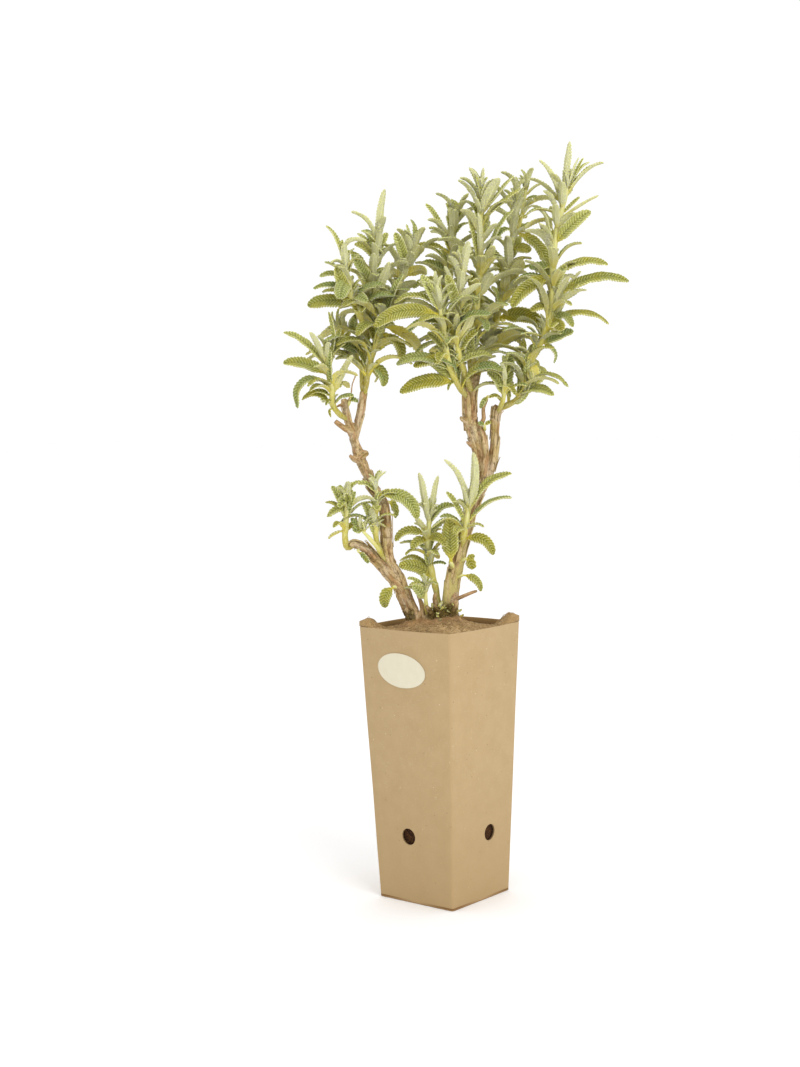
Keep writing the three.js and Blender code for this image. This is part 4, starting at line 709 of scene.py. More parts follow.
@dataclass
class Leaf:
    """A felted leaf: folded along its midrib, arched, with rolled and finely scalloped margins.

    Args:
        base: Where it leaves its stem, on the stem's axis.
        tip: Where it ends.
        up: The stem's direction there.
        width: Greatest width.
        bow: How far its middle stands above the straight line to the tip.
        face: How much its upper side is turned to the front, from -1 to 1.
        age: 0 for an old grey-green leaf, 1 for a young pale one.
        long_stalk: How much of its length is stalk, beyond the usual.
        station: Millimetres from one section to the next.
    """

    base: np.ndarray
    tip: np.ndarray
    up: np.ndarray
    width: float
    bow: float
    face: float
    age: float = 0.5
    long_stalk: float = 0.0
    station: float = 0.66

    # Real sizes of the leaf's relief, in millimetres
    SCALLOP = 2.4
    TOOTH = 0.9
    VEIN_SPACING = 2.4
    QUILTING = 0.3
    GROOVE = 0.34
    UNDULATION = 0.34
    THICKNESS = 0.85
    MARGIN_THICKNESS = 0.8
    SLENDER = 0.95

    # Points of a section, as shares of the half width: over the upper side, then back along the under side
    FRONT = (-1, -0.86, -0.55, -0.2, 0, 0.2, 0.55, 0.86, 1)
    BACK = (0.84, 0.4, 0, -0.4, -0.84)
    SMALL_FRONT = (-1, -0.55, 0, 0.55, 1)
    SMALL_BACK = (0.6, 0, -0.6)

    def swung(self, angle: float) -> np.ndarray:
        """The tip after a swing about the upright line through the base."""
        return self.base + np.array(Matrix.Rotation(angle, 3, "Z")) @ (self.tip - self.base)

    def midrib(self, s: np.ndarray, draws: Draws) -> tuple[np.ndarray, np.ndarray, np.ndarray, np.ndarray]:
        """The leaf's middle line, arched, drooping at the tip and a little twisted.

        Args:
            s: Shares of its length.
            draws: Where its droop, sweep and twist are drawn from.

        Returns:
            Its points, the directions to its side and out of its upper face, and distances from the base.
        """
        chord = self.tip - self.base
        reach = float(np.linalg.norm(chord))
        along = chord / reach
        upper = self.up - along * (self.up @ along)
        if np.linalg.norm(upper) < 0.05:
            upper = np.array([0.0, -1.0, 0.0]) + along * along[1]
        upper = unit(upper)
        middle = self.base + chord * 0.55 + upper * 2 * self.bow
        w = s[:, None]
        spine = (1 - w) ** 2 * self.base + 2 * (1 - w) * w * middle + w**2 * self.tip
        tangent = unit(2 * (1 - w) * (middle - self.base) + 2 * w * (self.tip - middle))
        gone = np.concatenate([[0], np.cumsum(np.linalg.norm(np.diff(spine, axis=0), axis=1))])
        flat = unit(upper - tangent * (tangent @ upper)[:, None])
        to_eye = unit(np.array([0.0, -1.0, 0.0]) + tangent * tangent[:, 1:2])
        normal = flat * math.sqrt(1 - self.face**2) + to_eye * self.face
        normal = unit(normal - tangent * (normal * tangent).sum(1)[:, None])
        side = np.cross(tangent, normal)
        spine = spine - normal * ((0.03 + 0.06 * draws.next()) * reach * smooth(0.6, 1.15, w) ** 1.5)
        spine = spine + side * (draws.stray(0.035) * reach * np.sin(np.pi * w))
        twist = draws.stray(0.35) * w
        return (spine, side * np.cos(twist) + normal * np.sin(twist),
                normal * np.cos(twist) - side * np.sin(twist), gone)

    def patch(self, draws: Draws) -> Patch:
        """The leaf as a closed body.

        Args:
            draws: Where its wear and undulation are drawn from.

        Returns:
            The body, with its blade and growth fields.
        """
        rows = int(np.clip(round(float(np.linalg.norm(self.tip - self.base)) / self.station), 11, 64))
        s = np.linspace(0, 1, rows)
        spine, side, normal, gone = self.midrib(s, draws)
        gone, w = gone[:, None], s[:, None]
        size = min(1.0, self.width / 9)
        spread = (w - self.long_stalk) / (1 - self.long_stalk)
        blade = smooth(0.06, 0.2, spread) * (1 - smooth(0.93, 1, w)) * size
        phase = draws.next()
        half = (self.width * (self.SLENDER - 0.16 * self.age) / 2) * outline(np.clip(spread, 0, 1))
        half = half + self.TOOTH * blade * (np.abs(np.sin(np.pi * (gone / self.SCALLOP + phase))) - 0.6)
        half = np.maximum(half, 0.05)

        front, back = (self.FRONT, self.BACK) if self.station < 0.9 else (self.SMALL_FRONT, self.SMALL_BACK)
        u = np.array([*front, *back])[None, :]
        under = np.array([0.5, *[0.0] * (len(front) - 2), 0.5, *[1.0] * len(back)])[None, :]
        off = np.abs(u)
        fold = 0.14 + 0.3 * draws.next() + 0.5 * self.age
        roll = (0.26 + 0.24 * draws.next()) * half * smooth(0.62, 1.05, off)
        turns = gone / (11 + 8 * draws.next()) * 2 * np.pi
        wave = np.where(u < 0, np.sin(turns + phase * 6), np.sin(turns + phase * 11 + 2))
        veins = (gone - 0.85 * off * half) / self.VEIN_SPACING
        scale = np.minimum(1, half / 1.4)
        thick = (self.THICKNESS - (self.THICKNESS - self.MARGIN_THICKNESS) * off) * scale
        rib = (0.28 + 0.5 * (1 - w)) * np.exp(-((off / 0.2) ** 2)) * scale * size
        stalk = 1 - smooth(0.0, 0.16, w)
        height = half * fold * off**1.25 - roll + self.UNDULATION * blade * wave * off**2
        height = height + self.QUILTING * blade * np.cos(2 * np.pi * veins) * smooth(0.05, 0.3, off)
        height = height - self.GROOVE * blade * np.exp(-((off / 0.12) ** 2)) * (1 - under)
        height = height - np.where(under > 0.9, thick + rib + 0.5 * stalk * scale, 0)
        height = height - (off > 0.99) * thick * 0.5
        across = u * half * (1 - 0.35 * fold**2)
        points = spine[:, None] + side[:, None] * across[..., None] + normal[:, None] * height[..., None]
        shape = (rows, u.shape[1])
        growth = rows_of(shape, self.age, draws.next(), w)
        fields = {"blade": rows_of(shape, off, veins, under), "growth": growth}
        return Patch(points.reshape(-1, 3), ring_faces(*shape), fields)


@dataclass
class Foliage:
    """One leafy shoot: its woolly stem, the leaves that its CAD node has, and small leaves in the axils."""

    shoot: Shoot
    SWINGS = tuple(math.radians(angle) for angle in (0, 12, -12, 24, -24, 38, -38, 54, -54))
    SLOPES = (math.radians(5), math.radians(62))
    BEARING_STRAY = math.radians(35)
    SLOPE_STRAY = math.radians(15)
    SIZE_STRAY = 0.15
    LENGTHS = (1, 0.72)
    BOWS = (0.2, 0.04)
    NEAREST = 0.3
    NEAR_ENOUGH = 2.0
    JOINT_STEP = 12.0
    FULL_STEP = 9.5
    SHORTEST_LEAFY = 22
    AXIL_SLOPES = (math.radians(22), math.radians(62))
    AXIL_BOWS = (0.28, 0.12)
    AXIL_TOP = 0.97
    TIP_LEAVES = 4
    TIP_SLOPE = math.radians(66)
    SLIMNESS = 0.33
    STEM_SIDES = 12
    STEM_STEP = 1.4
    YOUNG_FROM = 0.45

    def __post_init__(self) -> None:
        """Lays the stem's line and reads the tips of the CAD node."""
        self.line = Line(self.shoot.stem)
        self.corners = tree_of(from_pot(read(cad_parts[self.shoot.name].data.vertices, "co") / MM))

    def seated(self, leaf: Leaf) -> Leaf | None:
        """Finds the leaf's tip in the CAD node.

        Args:
            leaf: The leaf as placed.

        Returns:
            The leaf swung to where the node has it, or None where the node has no such leaf.
        """
        tips = [leaf.swung(angle) for angle in self.SWINGS]
        misses = [self.corners.find(tip)[2] for tip in tips]
        best = next((k for k, miss in enumerate(misses) if miss < self.NEAREST), int(np.argmin(misses)))
        leaf.tip = tips[best]
        return leaf if misses[best] < self.NEAR_ENOUGH else None

    def age(self, t: float, way: np.ndarray) -> float:
        """How young a leaf is.

        Args:
            t: Its place on the stem.
            way: From its base to its tip.

        Returns:
            From 0 for old to 1 for young: leaves high on the stem and leaves that rise are young.
        """
        if self.line.length() < self.SHORTEST_LEAFY:
            return 0.12
        rise = float(way[2] / np.linalg.norm(way))
        return float(0.4 * np.clip((t - self.YOUNG_FROM) / 0.5, 0, 1) + 0.6 * np.clip(1.1 * rise, 0, 1))

    def listed(self) -> Iterator[Leaf]:
        """The leaves placed one by one.

        Returns:
            The leaves, in the list's order.
        """
        for height, x, z, reach, width, bow, face in self.shoot.leaves:
            t = self.line.at_height(height)
            base = self.line.point(t)
            tip = place(x, z, base[1] + reach)
            yield Leaf(base, tip, self.line.tangent(t), width, bow, face, self.age(t, tip - base))

    def paired(self) -> Iterator[Leaf]:
        """The leaves placed by rule on the other sides.

        Returns:
            The leaves, from the lowest pair up.
        """
        pairs = self.shoot.pairs or Pairs(0, 0, 0, 0, 0, 0)
        draws = Draws(self.shoot.seed)
        for i in range(pairs.count):
            share = i / (pairs.count - 1) if pairs.count > 1 else 0
            t = self.line.at_height(blend(pairs.start, pairs.end, share))
            base, up = self.line.point(t), self.line.tangent(t)
            for half in (0, 180):
                bearing = math.radians(pairs.turn + half) + draws.stray(self.BEARING_STRAY)
                slope = blend(*self.SLOPES, share) + draws.stray(self.SLOPE_STRAY)
                reach = pairs.length * blend(*self.LENGTHS, share) * (1 + draws.stray(self.SIZE_STRAY))
                way = heading(bearing, slope) * reach
                width = pairs.width * (1 + draws.stray(self.SIZE_STRAY))
                bow = reach * blend(*self.BOWS, share)
                yield Leaf(base, base + way, up, width, bow, 0, self.age(t, way), station=0.85)

    def axillary(self) -> Iterator[Leaf]:
        """Arching leaves at every joint of a longer stem, and a short sprout of young leaves in each axil.

        Returns:
            The leaves, from the lowest joint to the tip.
        """
        length = self.line.length()
        if length < self.SHORTEST_LEAFY:
            return
        low = max(self.line.at_height(min(row[0] for row in self.shoot.leaves)) - self.shoot.filled, 0.05)
        draws = Draws(self.shoot.seed + 500)
        full = self.shoot.filled > 0.1
        count = max(2, round(length * (1 - low) / (self.FULL_STEP if full else self.JOINT_STEP)))
        turn = draws.next() * math.pi
        longest = min(42 if full else 32, 0.3 * length + 10)
        for i in range(count):
            share = (i + 0.3 + 0.4 * draws.next()) / count
            t = low + (self.AXIL_TOP - low) * share
            base, up = self.line.point(t), self.line.tangent(t)
            turn += math.pi / 2 + draws.stray(0.3)
            for half in (0, math.pi):
                bearing = self.aside(turn + half + draws.stray(0.45))
                slope = blend(*self.AXIL_SLOPES, share**1.2) + draws.stray(0.38)
                reach = blend(longest, 0.58 * longest, share**1.5) * (1 + draws.stray(0.3))
                way = heading(bearing, slope) * reach
                bow = reach * blend(*self.AXIL_BOWS, share) * (0.55 + 0.8 * draws.next())
                age = float(np.clip(0.2 + 0.55 * share + draws.stray(0.3), 0, 1))
                stalk = 0.06 + 0.12 * draws.next()
                yield Leaf(base, base + way, up, reach * self.SLIMNESS, bow, 0, age, stalk, 0.95)
                for _ in range(2 if share < 0.6 else int(full)):
                    sprout = reach * (0.4 + 0.3 * draws.next())
                    way = heading(bearing + draws.stray(0.7), slope + 0.5 + draws.stray(0.35)) * sprout
                    age = 0.8 + draws.stray(0.2)
                    yield Leaf(base, base + way, up, sprout * 0.34, sprout * 0.16, 0, age, 0.05, 1.0)
        for i in range(self.TIP_LEAVES):
            t = self.AXIL_TOP + 0.02 * draws.next()
            base, up = self.line.point(t), self.line.tangent(t)
            sprout = 11 + 6 * draws.next()
            way = heading(turn + i * 1.9, self.TIP_SLOPE + draws.stray(0.3)) * sprout
            yield Leaf(base, base + way, up, sprout * self.SLIMNESS, sprout * 0.1, 0, 1.0, 0.0, 0.9)

    @staticmethod
    def aside(bearing: float) -> float:
        """A bearing turned sideways where it would point straight at the eye."""
        off = (bearing + math.pi / 2 + math.pi) % (2 * math.pi) - math.pi
        return bearing + (math.copysign(0.75, off) if abs(off) < 0.6 else 0.0)

    def stem_patch(self) -> Patch:
        """The woolly stem, square and a little swollen where leaves leave it.

        Returns:
            The stem's body, with the leaves' fields.
        """
        t, gone = self.line.even(self.STEM_STEP)
        draws = Draws(self.shoot.seed + 900)
        _, across, over = self.line.frames(t)
        radius = np.maximum(self.line.radius(t), 0.7) * (1 + 0.07 * np.sin(gone / 2.1 + draws.next() * 6))
        radius[-1] *= 0.3
        angle = circle(self.STEM_SIDES)
        reach = radius[:, None] * (1 + 0.07 * np.cos(4 * angle))
        points = self.line.point(t)[:, None] + around(across, over, angle) * reach[..., None]
        shape = (len(t), self.STEM_SIDES)
        share = (gone / gone[-1])[:, None]
        growth = rows_of(shape, share, draws.next(), share)
        fields = {"blade": rows_of(shape, 0.0, gone[:, None], 0.0), "growth": growth}
        return Patch(points.reshape(-1, 3), ring_faces(*shape), fields, finish=1)

    def build(self, leaf_finish: Material, stem_finish: Material) -> None:
        """Builds and settles the shoot's piece.

        Args:
            leaf_finish: The leaves' material.
            stem_finish: The stem's material.
        """
        draws = Draws(self.shoot.seed + 100)
        seated = [self.seated(leaf) for leaf in (*self.listed(), *self.paired())]
        if None in seated:
            log.warning("%s: %d leaves aren't in the CAD node", self.shoot.name, seated.count(None))
        leaves = [leaf for leaf in seated if leaf is not None]
        patches = [self.stem_patch(), *[leaf.patch(draws) for leaf in (*leaves, *self.axillary())]]
        piece = make_piece(f"{self.shoot.name}_foliage", patches, [leaf_finish, stem_finish])
        settle(piece, "leaf", self.shoot.name)


def tube(points: np.ndarray, radii: np.ndarray, sides: int) -> Patch:
    """A plain tube along points, closed at both ends.

    Args:
        points: The points that it follows, in millimetres.
        radii: Its radius at each point.
        sides: Sides of its section.

    Returns:
        The tube, without fields.
    """
    along = unit(np.gradient(points, axis=0))
    start = np.array([0.0, 0.0, 1.0]) if abs(along[:, 2].mean()) < 0.8 else np.array([1.0, 0.0, 0.0])
    across = unit(start - along * (along @ start)[:, None])
    ring = around(across, np.cross(along, across), circle(sides)) * radii[:, None, None]
    return Patch((points[:, None] + ring).reshape(-1, 3), ring_faces(len(points), sides))


@dataclass
class Wood:
    """The old wood: two trunks with their forks, stubs and broken ends, and the stool, grown as one."""

    voxel: float = 0.75
    step: float = 1.3
    sides: int = 18
    lump_rings: int = 13
    bare_limbs: tuple = (8, 16)
    sleeve_end: float = 226.5
    flaked_limbs: tuple = ((0, 42), (1, 8), (2, 16), (8, 74), (9, 34), (10, 8), (11, 8))
    limbs: list[Line] = field(default_factory=lambda: [Line(rows) for rows in (*WOOD, *STOOL_SPURS)])

    # The right trunk's scar and the stool's moss: x, height, half width and half height as seen
    scar: tuple = (13.5, 267, 3.0, 8)
    clump: tuple = (3, 222, 13, 9)

    # A bark flake's section: shares of its half width, and heights over its underside's middle
    FLAKE_ACROSS = np.array([-1, -0.4, 0.4, 1, 1, 0.4, -0.4, -1])
    FLAKE_OUT = np.array([0.1, 0.4, 0.4, 0.1, -0.12, -0.12, -0.12, -0.12])
    FLAKE_ROWS = 8
    AXIS_STEP = 0.8
    CANDIDATES = 5
    GRAIN_SHIFT = 37

    def limb_patch(self, line: Line, number: int) -> Patch:
        """One limb, swollen at its old leaf joints and a little out of round.

        Args:
            line: Its axis.
            number: Its number, which seeds its draws.

        Returns:
            Its body.
        """
        draws = Draws(700 + number)
        t, gone = line.even(self.step)
        _, across, over = line.frames(t)
        angle = circle(self.sides)
        joint = 11 + 5 * draws.next()
        off_joint = (gone / joint + draws.next()) % 1 - 0.5
        radius = line.radius(t) * (1 + 0.06 * np.exp(-((off_joint / 0.13) ** 2)))
        radius[-1] *= 0.86
        lobes = 1 + 0.05 * np.sin(2 * angle + draws.next() * 6)
        lobes = lobes + 0.035 * np.sin(5 * angle + draws.next() * 6)
        points = line.point(t)[:, None] + around(across, over, angle) * (radius[:, None] * lobes)[..., None]
        return Patch(points.reshape(-1, 3), ring_faces(len(t), self.sides))

    def lump_patch(self, x: float, z: float, depth: float, radius: float) -> Patch:
        """One round lump of the stool.

        Args:
            x: Where its middle is seen across.
            z: The height at which its middle is seen.
            depth: Its middle's depth.
            radius: Its radius.

        Returns:
            Its body.
        """
        rings = (np.linspace(0.04, 0.96, self.lump_rings) * np.pi)[:, None]
        angle = circle(self.sides)
        shape = (self.lump_rings, self.sides)
        ball = rows_of(shape, np.sin(rings) * np.cos(angle), np.sin(rings) * np.sin(angle), -np.cos(rings))
        return Patch(place(x, z, depth) + radius * ball, ring_faces(*shape))

    def axes(self) -> dict[str, np.ndarray]:
        """Samples of every limb's axis, for finding how bark runs at a point.

        Returns:
            Rows of points, directions, distances, radii and limb numbers, by name.
        """
        rows = []
        for number, line in enumerate(self.limbs):
            t, gone = line.even(self.AXIS_STEP)
            rows.append((line.point(t), *line.frames(t), gone, line.radius(t), np.full(len(t), number)))
        names = ("point", "along", "across", "over", "gone", "radius", "limb")
        return {name: np.concatenate(parts) for name, parts in zip(names, zip(*rows))}

    def nearest(self, points: np.ndarray, axes: dict[str, np.ndarray]) -> np.ndarray:
        """Finds the limb that each point lies on.

        Args:
            points: Points of the bark.
            axes: Samples of the limbs' axes.

        Returns:
            The number of each point's axis sample.
        """
        tree, radii = tree_of(axes["point"]), axes["radius"].tolist()
        hits = (tree.find_n(point, self.CANDIDATES) for point in points.tolist())
        return np.array([min(near, key=lambda hit: hit[2] / radii[hit[1]])[1] for near in hits])

    def weather(self, mesh: Mesh) -> None:
        """Cuts the bark's fissures into the mesh, and records its grain and where it is bare, mossy or cut.

        Args:
            mesh: The wood's mesh.
        """
        axes = self.axes()
        points = from_pot(read(mesh.vertices, "co") / MM)
        at = self.nearest(points, axes)
        near = {name: rows[at] for name, rows in axes.items()}
        limb, gone = near["limb"], near["gone"]
        away = points - near["point"]
        sides = [(away * near[side]).sum(1) for side in ("across", "over")]
        grain = np.stack([*sides, gone + self.GRAIN_SHIFT * limb], axis=-1)
        last = np.array([axes["gone"][axes["limb"] == number].max() for number in range(len(self.limbs))])
        cut = smooth(0.05, 0.5, (away * near["along"]).sum(1) + (gone - last[limb]) + 0.3)
        seen, across = seen_height(points), points[:, 0]

        # Bare wood low on the right trunk, a scar on it, the left trunk's mossy sleeve and the mossy stool
        scar, clump = (
            np.exp(-(((across - x) / wide) ** 2 + ((seen - z) / high) ** 2) ** 2)
            for x, z, wide, high in (self.scar, self.clump)
        )
        bare = smooth(-0.1, 0.25, noise_at(grain, (3.2, 3.2, 70.0)) + 0.55 * smooth(292, 262, seen))
        bare = np.where(np.isin(limb, self.bare_limbs), bare * smooth(318, 285, seen) * (1 - scar), 0)
        cut = np.maximum(cut, 0.45 * scar * (points[:, 1] < 0))
        ragged = seen - self.sleeve_end + 5 * noise_at(grain, (2.4, 2.4, 30.0))
        sleeve = np.where(limb == 0, smooth(0.9, -0.9, ragged), 0)
        moss = np.maximum(clump, 0.75 * sleeve) * (1.2 + 0.6 * noise_at(points, (2.5, 2.5, 2.5)))
        moss = np.clip(moss, 0, 1)

        rough = (1 - 0.72 * bare) * np.clip(near["radius"] / 4.2, 0.35, 1)
        fissure = 1 - smooth(0.0, 0.17, np.abs(noise_at(grain, (1.7, 1.7, 13.0))))
        rings = 1 - smooth(0.0, 0.06, np.abs(noise_at(grain, (30.0, 30.0, 7.0))))
        fissure = np.maximum(fissure, rings * (near["radius"] > 3.4))
        plates, fibres = noise_at(grain, (2.6, 2.6, 11.0)), noise_at(grain, (0.8, 0.8, 6.0))
        lumps = noise_at(points, (2.2, 2.2, 2.2))
        relief = rough * (0.6 * plates + 0.22 * fibres - 0.75 * fissure) + 0.3 * moss * lumps - 0.75 * sleeve
        relief = relief * (1 - cut * (cut > 0.5)) + cut * (0.18 * lumps - 0.5 * scar)
        moved = points + from_pot(read(mesh.vertex_normals, "vector")) * relief[:, None]
        mesh.vertices.foreach_set("co", (to_pot(moved) * MM).ravel())
        set_field(mesh, "grain", grain)
        set_field(mesh, "wear", np.stack([moss, np.clip(bare + 0.35 * sleeve, 0, 1), cut], axis=-1))
        set_field(mesh, "relief", np.stack([fissure, plates, 0 * plates], axis=-1))

    def flake_patch(self, line: Line, draws: Draws) -> Patch:
        """A thin strip of bark that peels from a limb.

        Args:
            line: The limb's axis.
            draws: Where its place and shape are drawn from.

        Returns:
            Its body, with the bark's fields.
        """
        whole = line.length()
        middle = 0.16 + 0.78 * draws.next()
        half = (3.5 + 8 * draws.next()) / whole
        t = np.linspace(max(middle - half, 0.12), min(middle + half, 0.97), self.FLAKE_ROWS)
        _, across, over = line.frames(t)
        start = draws.next() * 2 * math.pi
        spread = (0.5 + 1.1 * draws.next() ** 1.5) / line.radius(t)
        curl = np.abs(np.linspace(-0.35, 1, self.FLAKE_ROWS)) ** 2.2
        lift = 0.05 + (0.5 + 1.3 * draws.next() ** 1.5) * curl
        taper = np.sqrt(np.sin(np.linspace(0.12, np.pi - 0.12, self.FLAKE_ROWS)))
        angle = start + self.FLAKE_ACROSS * (spread * taper)[:, None]
        reach = (line.radius(t) * 1.03 + lift)[:, None] + self.FLAKE_OUT
        points = line.point(t)[:, None] + around(across, over, angle) * reach[..., None]
        fields = {
            "grain": rows_of(angle.shape, angle * 3, reach, (t * whole)[:, None]),
            "wear": rows_of(angle.shape, 0.0, 0.35 * draws.next(), 0.0),
            "relief": rows_of(angle.shape, 0.0, 0.6, 0.0),
        }
        return Patch(points.reshape(-1, 3), ring_faces(*angle.shape), fields)

    def build(self, bark: Material) -> Object:
        """Builds and settles the wood and its peeling flakes.

        Args:
            bark: The bark's material.

        Returns:
            The wood.
        """
        patches = [self.limb_patch(line, number) for number, line in enumerate(self.limbs)]
        wood = make_piece("weathered_wood", [*patches, *[self.lump_patch(*row) for row in STOOL]], [bark])
        skin = wood.modifiers.new("skin", "REMESH")
        skin.mode = "VOXEL"
        skin.voxel_size = self.voxel * MM
        skin.use_smooth_shade = True
        applied(wood)
        self.weather(wood.data)
        settle(wood, "bark", "woody_stems")
        draws = Draws(77)
        flakes = [self.flake_patch(self.limbs[number], draws) for number, count in self.flaked_limbs
                  for _ in range(count)]
        settle(make_piece("bark_flakes", flakes, [bark]), "bark")
        return wood


@dataclass
class StoolGrowth:
    """Moss tufts and small pale buds crowded on the stool."""

    wood: Object
    tufts: int = 1000
    buds: int = 28
    right_of: float = -12.0

    # A tuft's radii from root to tip, and how deep its root is
    TUFT_RADII = np.array([0.2, 0.22, 0.16, 0.04])
    SUNK = 0.2

    def tuft_patch(self, base: np.ndarray, outward: np.ndarray, draws: Draws) -> Patch:
        """One tuft of moss.

        Args:
            base: Its place on the wood.
            outward: The direction out of the wood there.
            draws: Where its lean and length are drawn from.

        Returns:
            Its body, with the moss's field.
        """
        way = unit(outward + draws.strays(0.8))
        reach = 0.6 + 1.3 * draws.next()
        bend = np.array([draws.stray(0.4), draws.stray(0.4), 0.5]) * reach
        share = np.linspace(0, 1, 4)[:, None]
        line = base - outward * self.SUNK + way * reach * share + bend * share**2
        tuft = tube(line, self.TUFT_RADII, 3)
        tuft.fields["tuft"] = rows_of((4, 3), draws.next(), draws.next(), share)
        return tuft

    def bud_patch(self, base: np.ndarray, outward: np.ndarray, draws: Draws) -> Patch:
        """One small pale bud.

        Args:
            base: Its place on the wood.
            outward: The direction out of the wood there.
            draws: Where its lean and size are drawn from.

        Returns:
            Its body, a small leaf.
        """
        way = unit(outward + np.array([draws.stray(0.7), -0.35 + draws.stray(0.4), 0.55 + draws.stray(0.5)]))
        reach = 2.6 + 4.2 * draws.next()
        base = base - outward * 0.5
        bud = Leaf(base, base + way * reach, outward, 1.9 + 1.5 * draws.next(), reach * 0.24, 0,
                   0.1 + 0.5 * draws.next())
        return bud.patch(draws)

    def build(self, moss: Material, leaf: Material, stem: Material) -> None:
        """Builds and settles the moss and the buds.

        Args:
            moss: The moss's material.
            leaf: The buds' material.
            stem: The second material of every leafy piece.
        """
        mesh = self.wood.data
        points = from_pot(read(mesh.vertices, "co") / MM)
        outward = from_pot(read(mesh.vertex_normals, "vector"))
        mossy = read(mesh.attributes["wear"].data, "vector")[:, 0]
        draws = Draws(411)
        for name, grow, count, least, above, finishes, slot in (
            ("stool_moss", self.tuft_patch, self.tufts, 0.42, 213, [moss], "bark"),
            ("stool_buds", self.bud_patch, self.buds, 0.3, 217, [leaf, stem], "leaf"),
        ):
            sites = np.flatnonzero((mossy > least) & (points[:, 2] > above) & (points[:, 0] > self.right_of))
            picked = (sites[int(draws.next() * len(sites))] for _ in range(count))
            settle(make_piece(name, [grow(points[k], outward[k], draws) for k in picked], finishes), slot)


LEVEL = np.array([1.0, 1.0, 0.0])


class Wall(Enum):
    """The pot's walls, by quarter turns from the front, with how far each wall's hole is off its middle."""

    FRONT = (0, -3.4)
    RIGHT = (1, 8.0)
    BACK = (2, 3.4)
    LEFT = (3, -8.0)


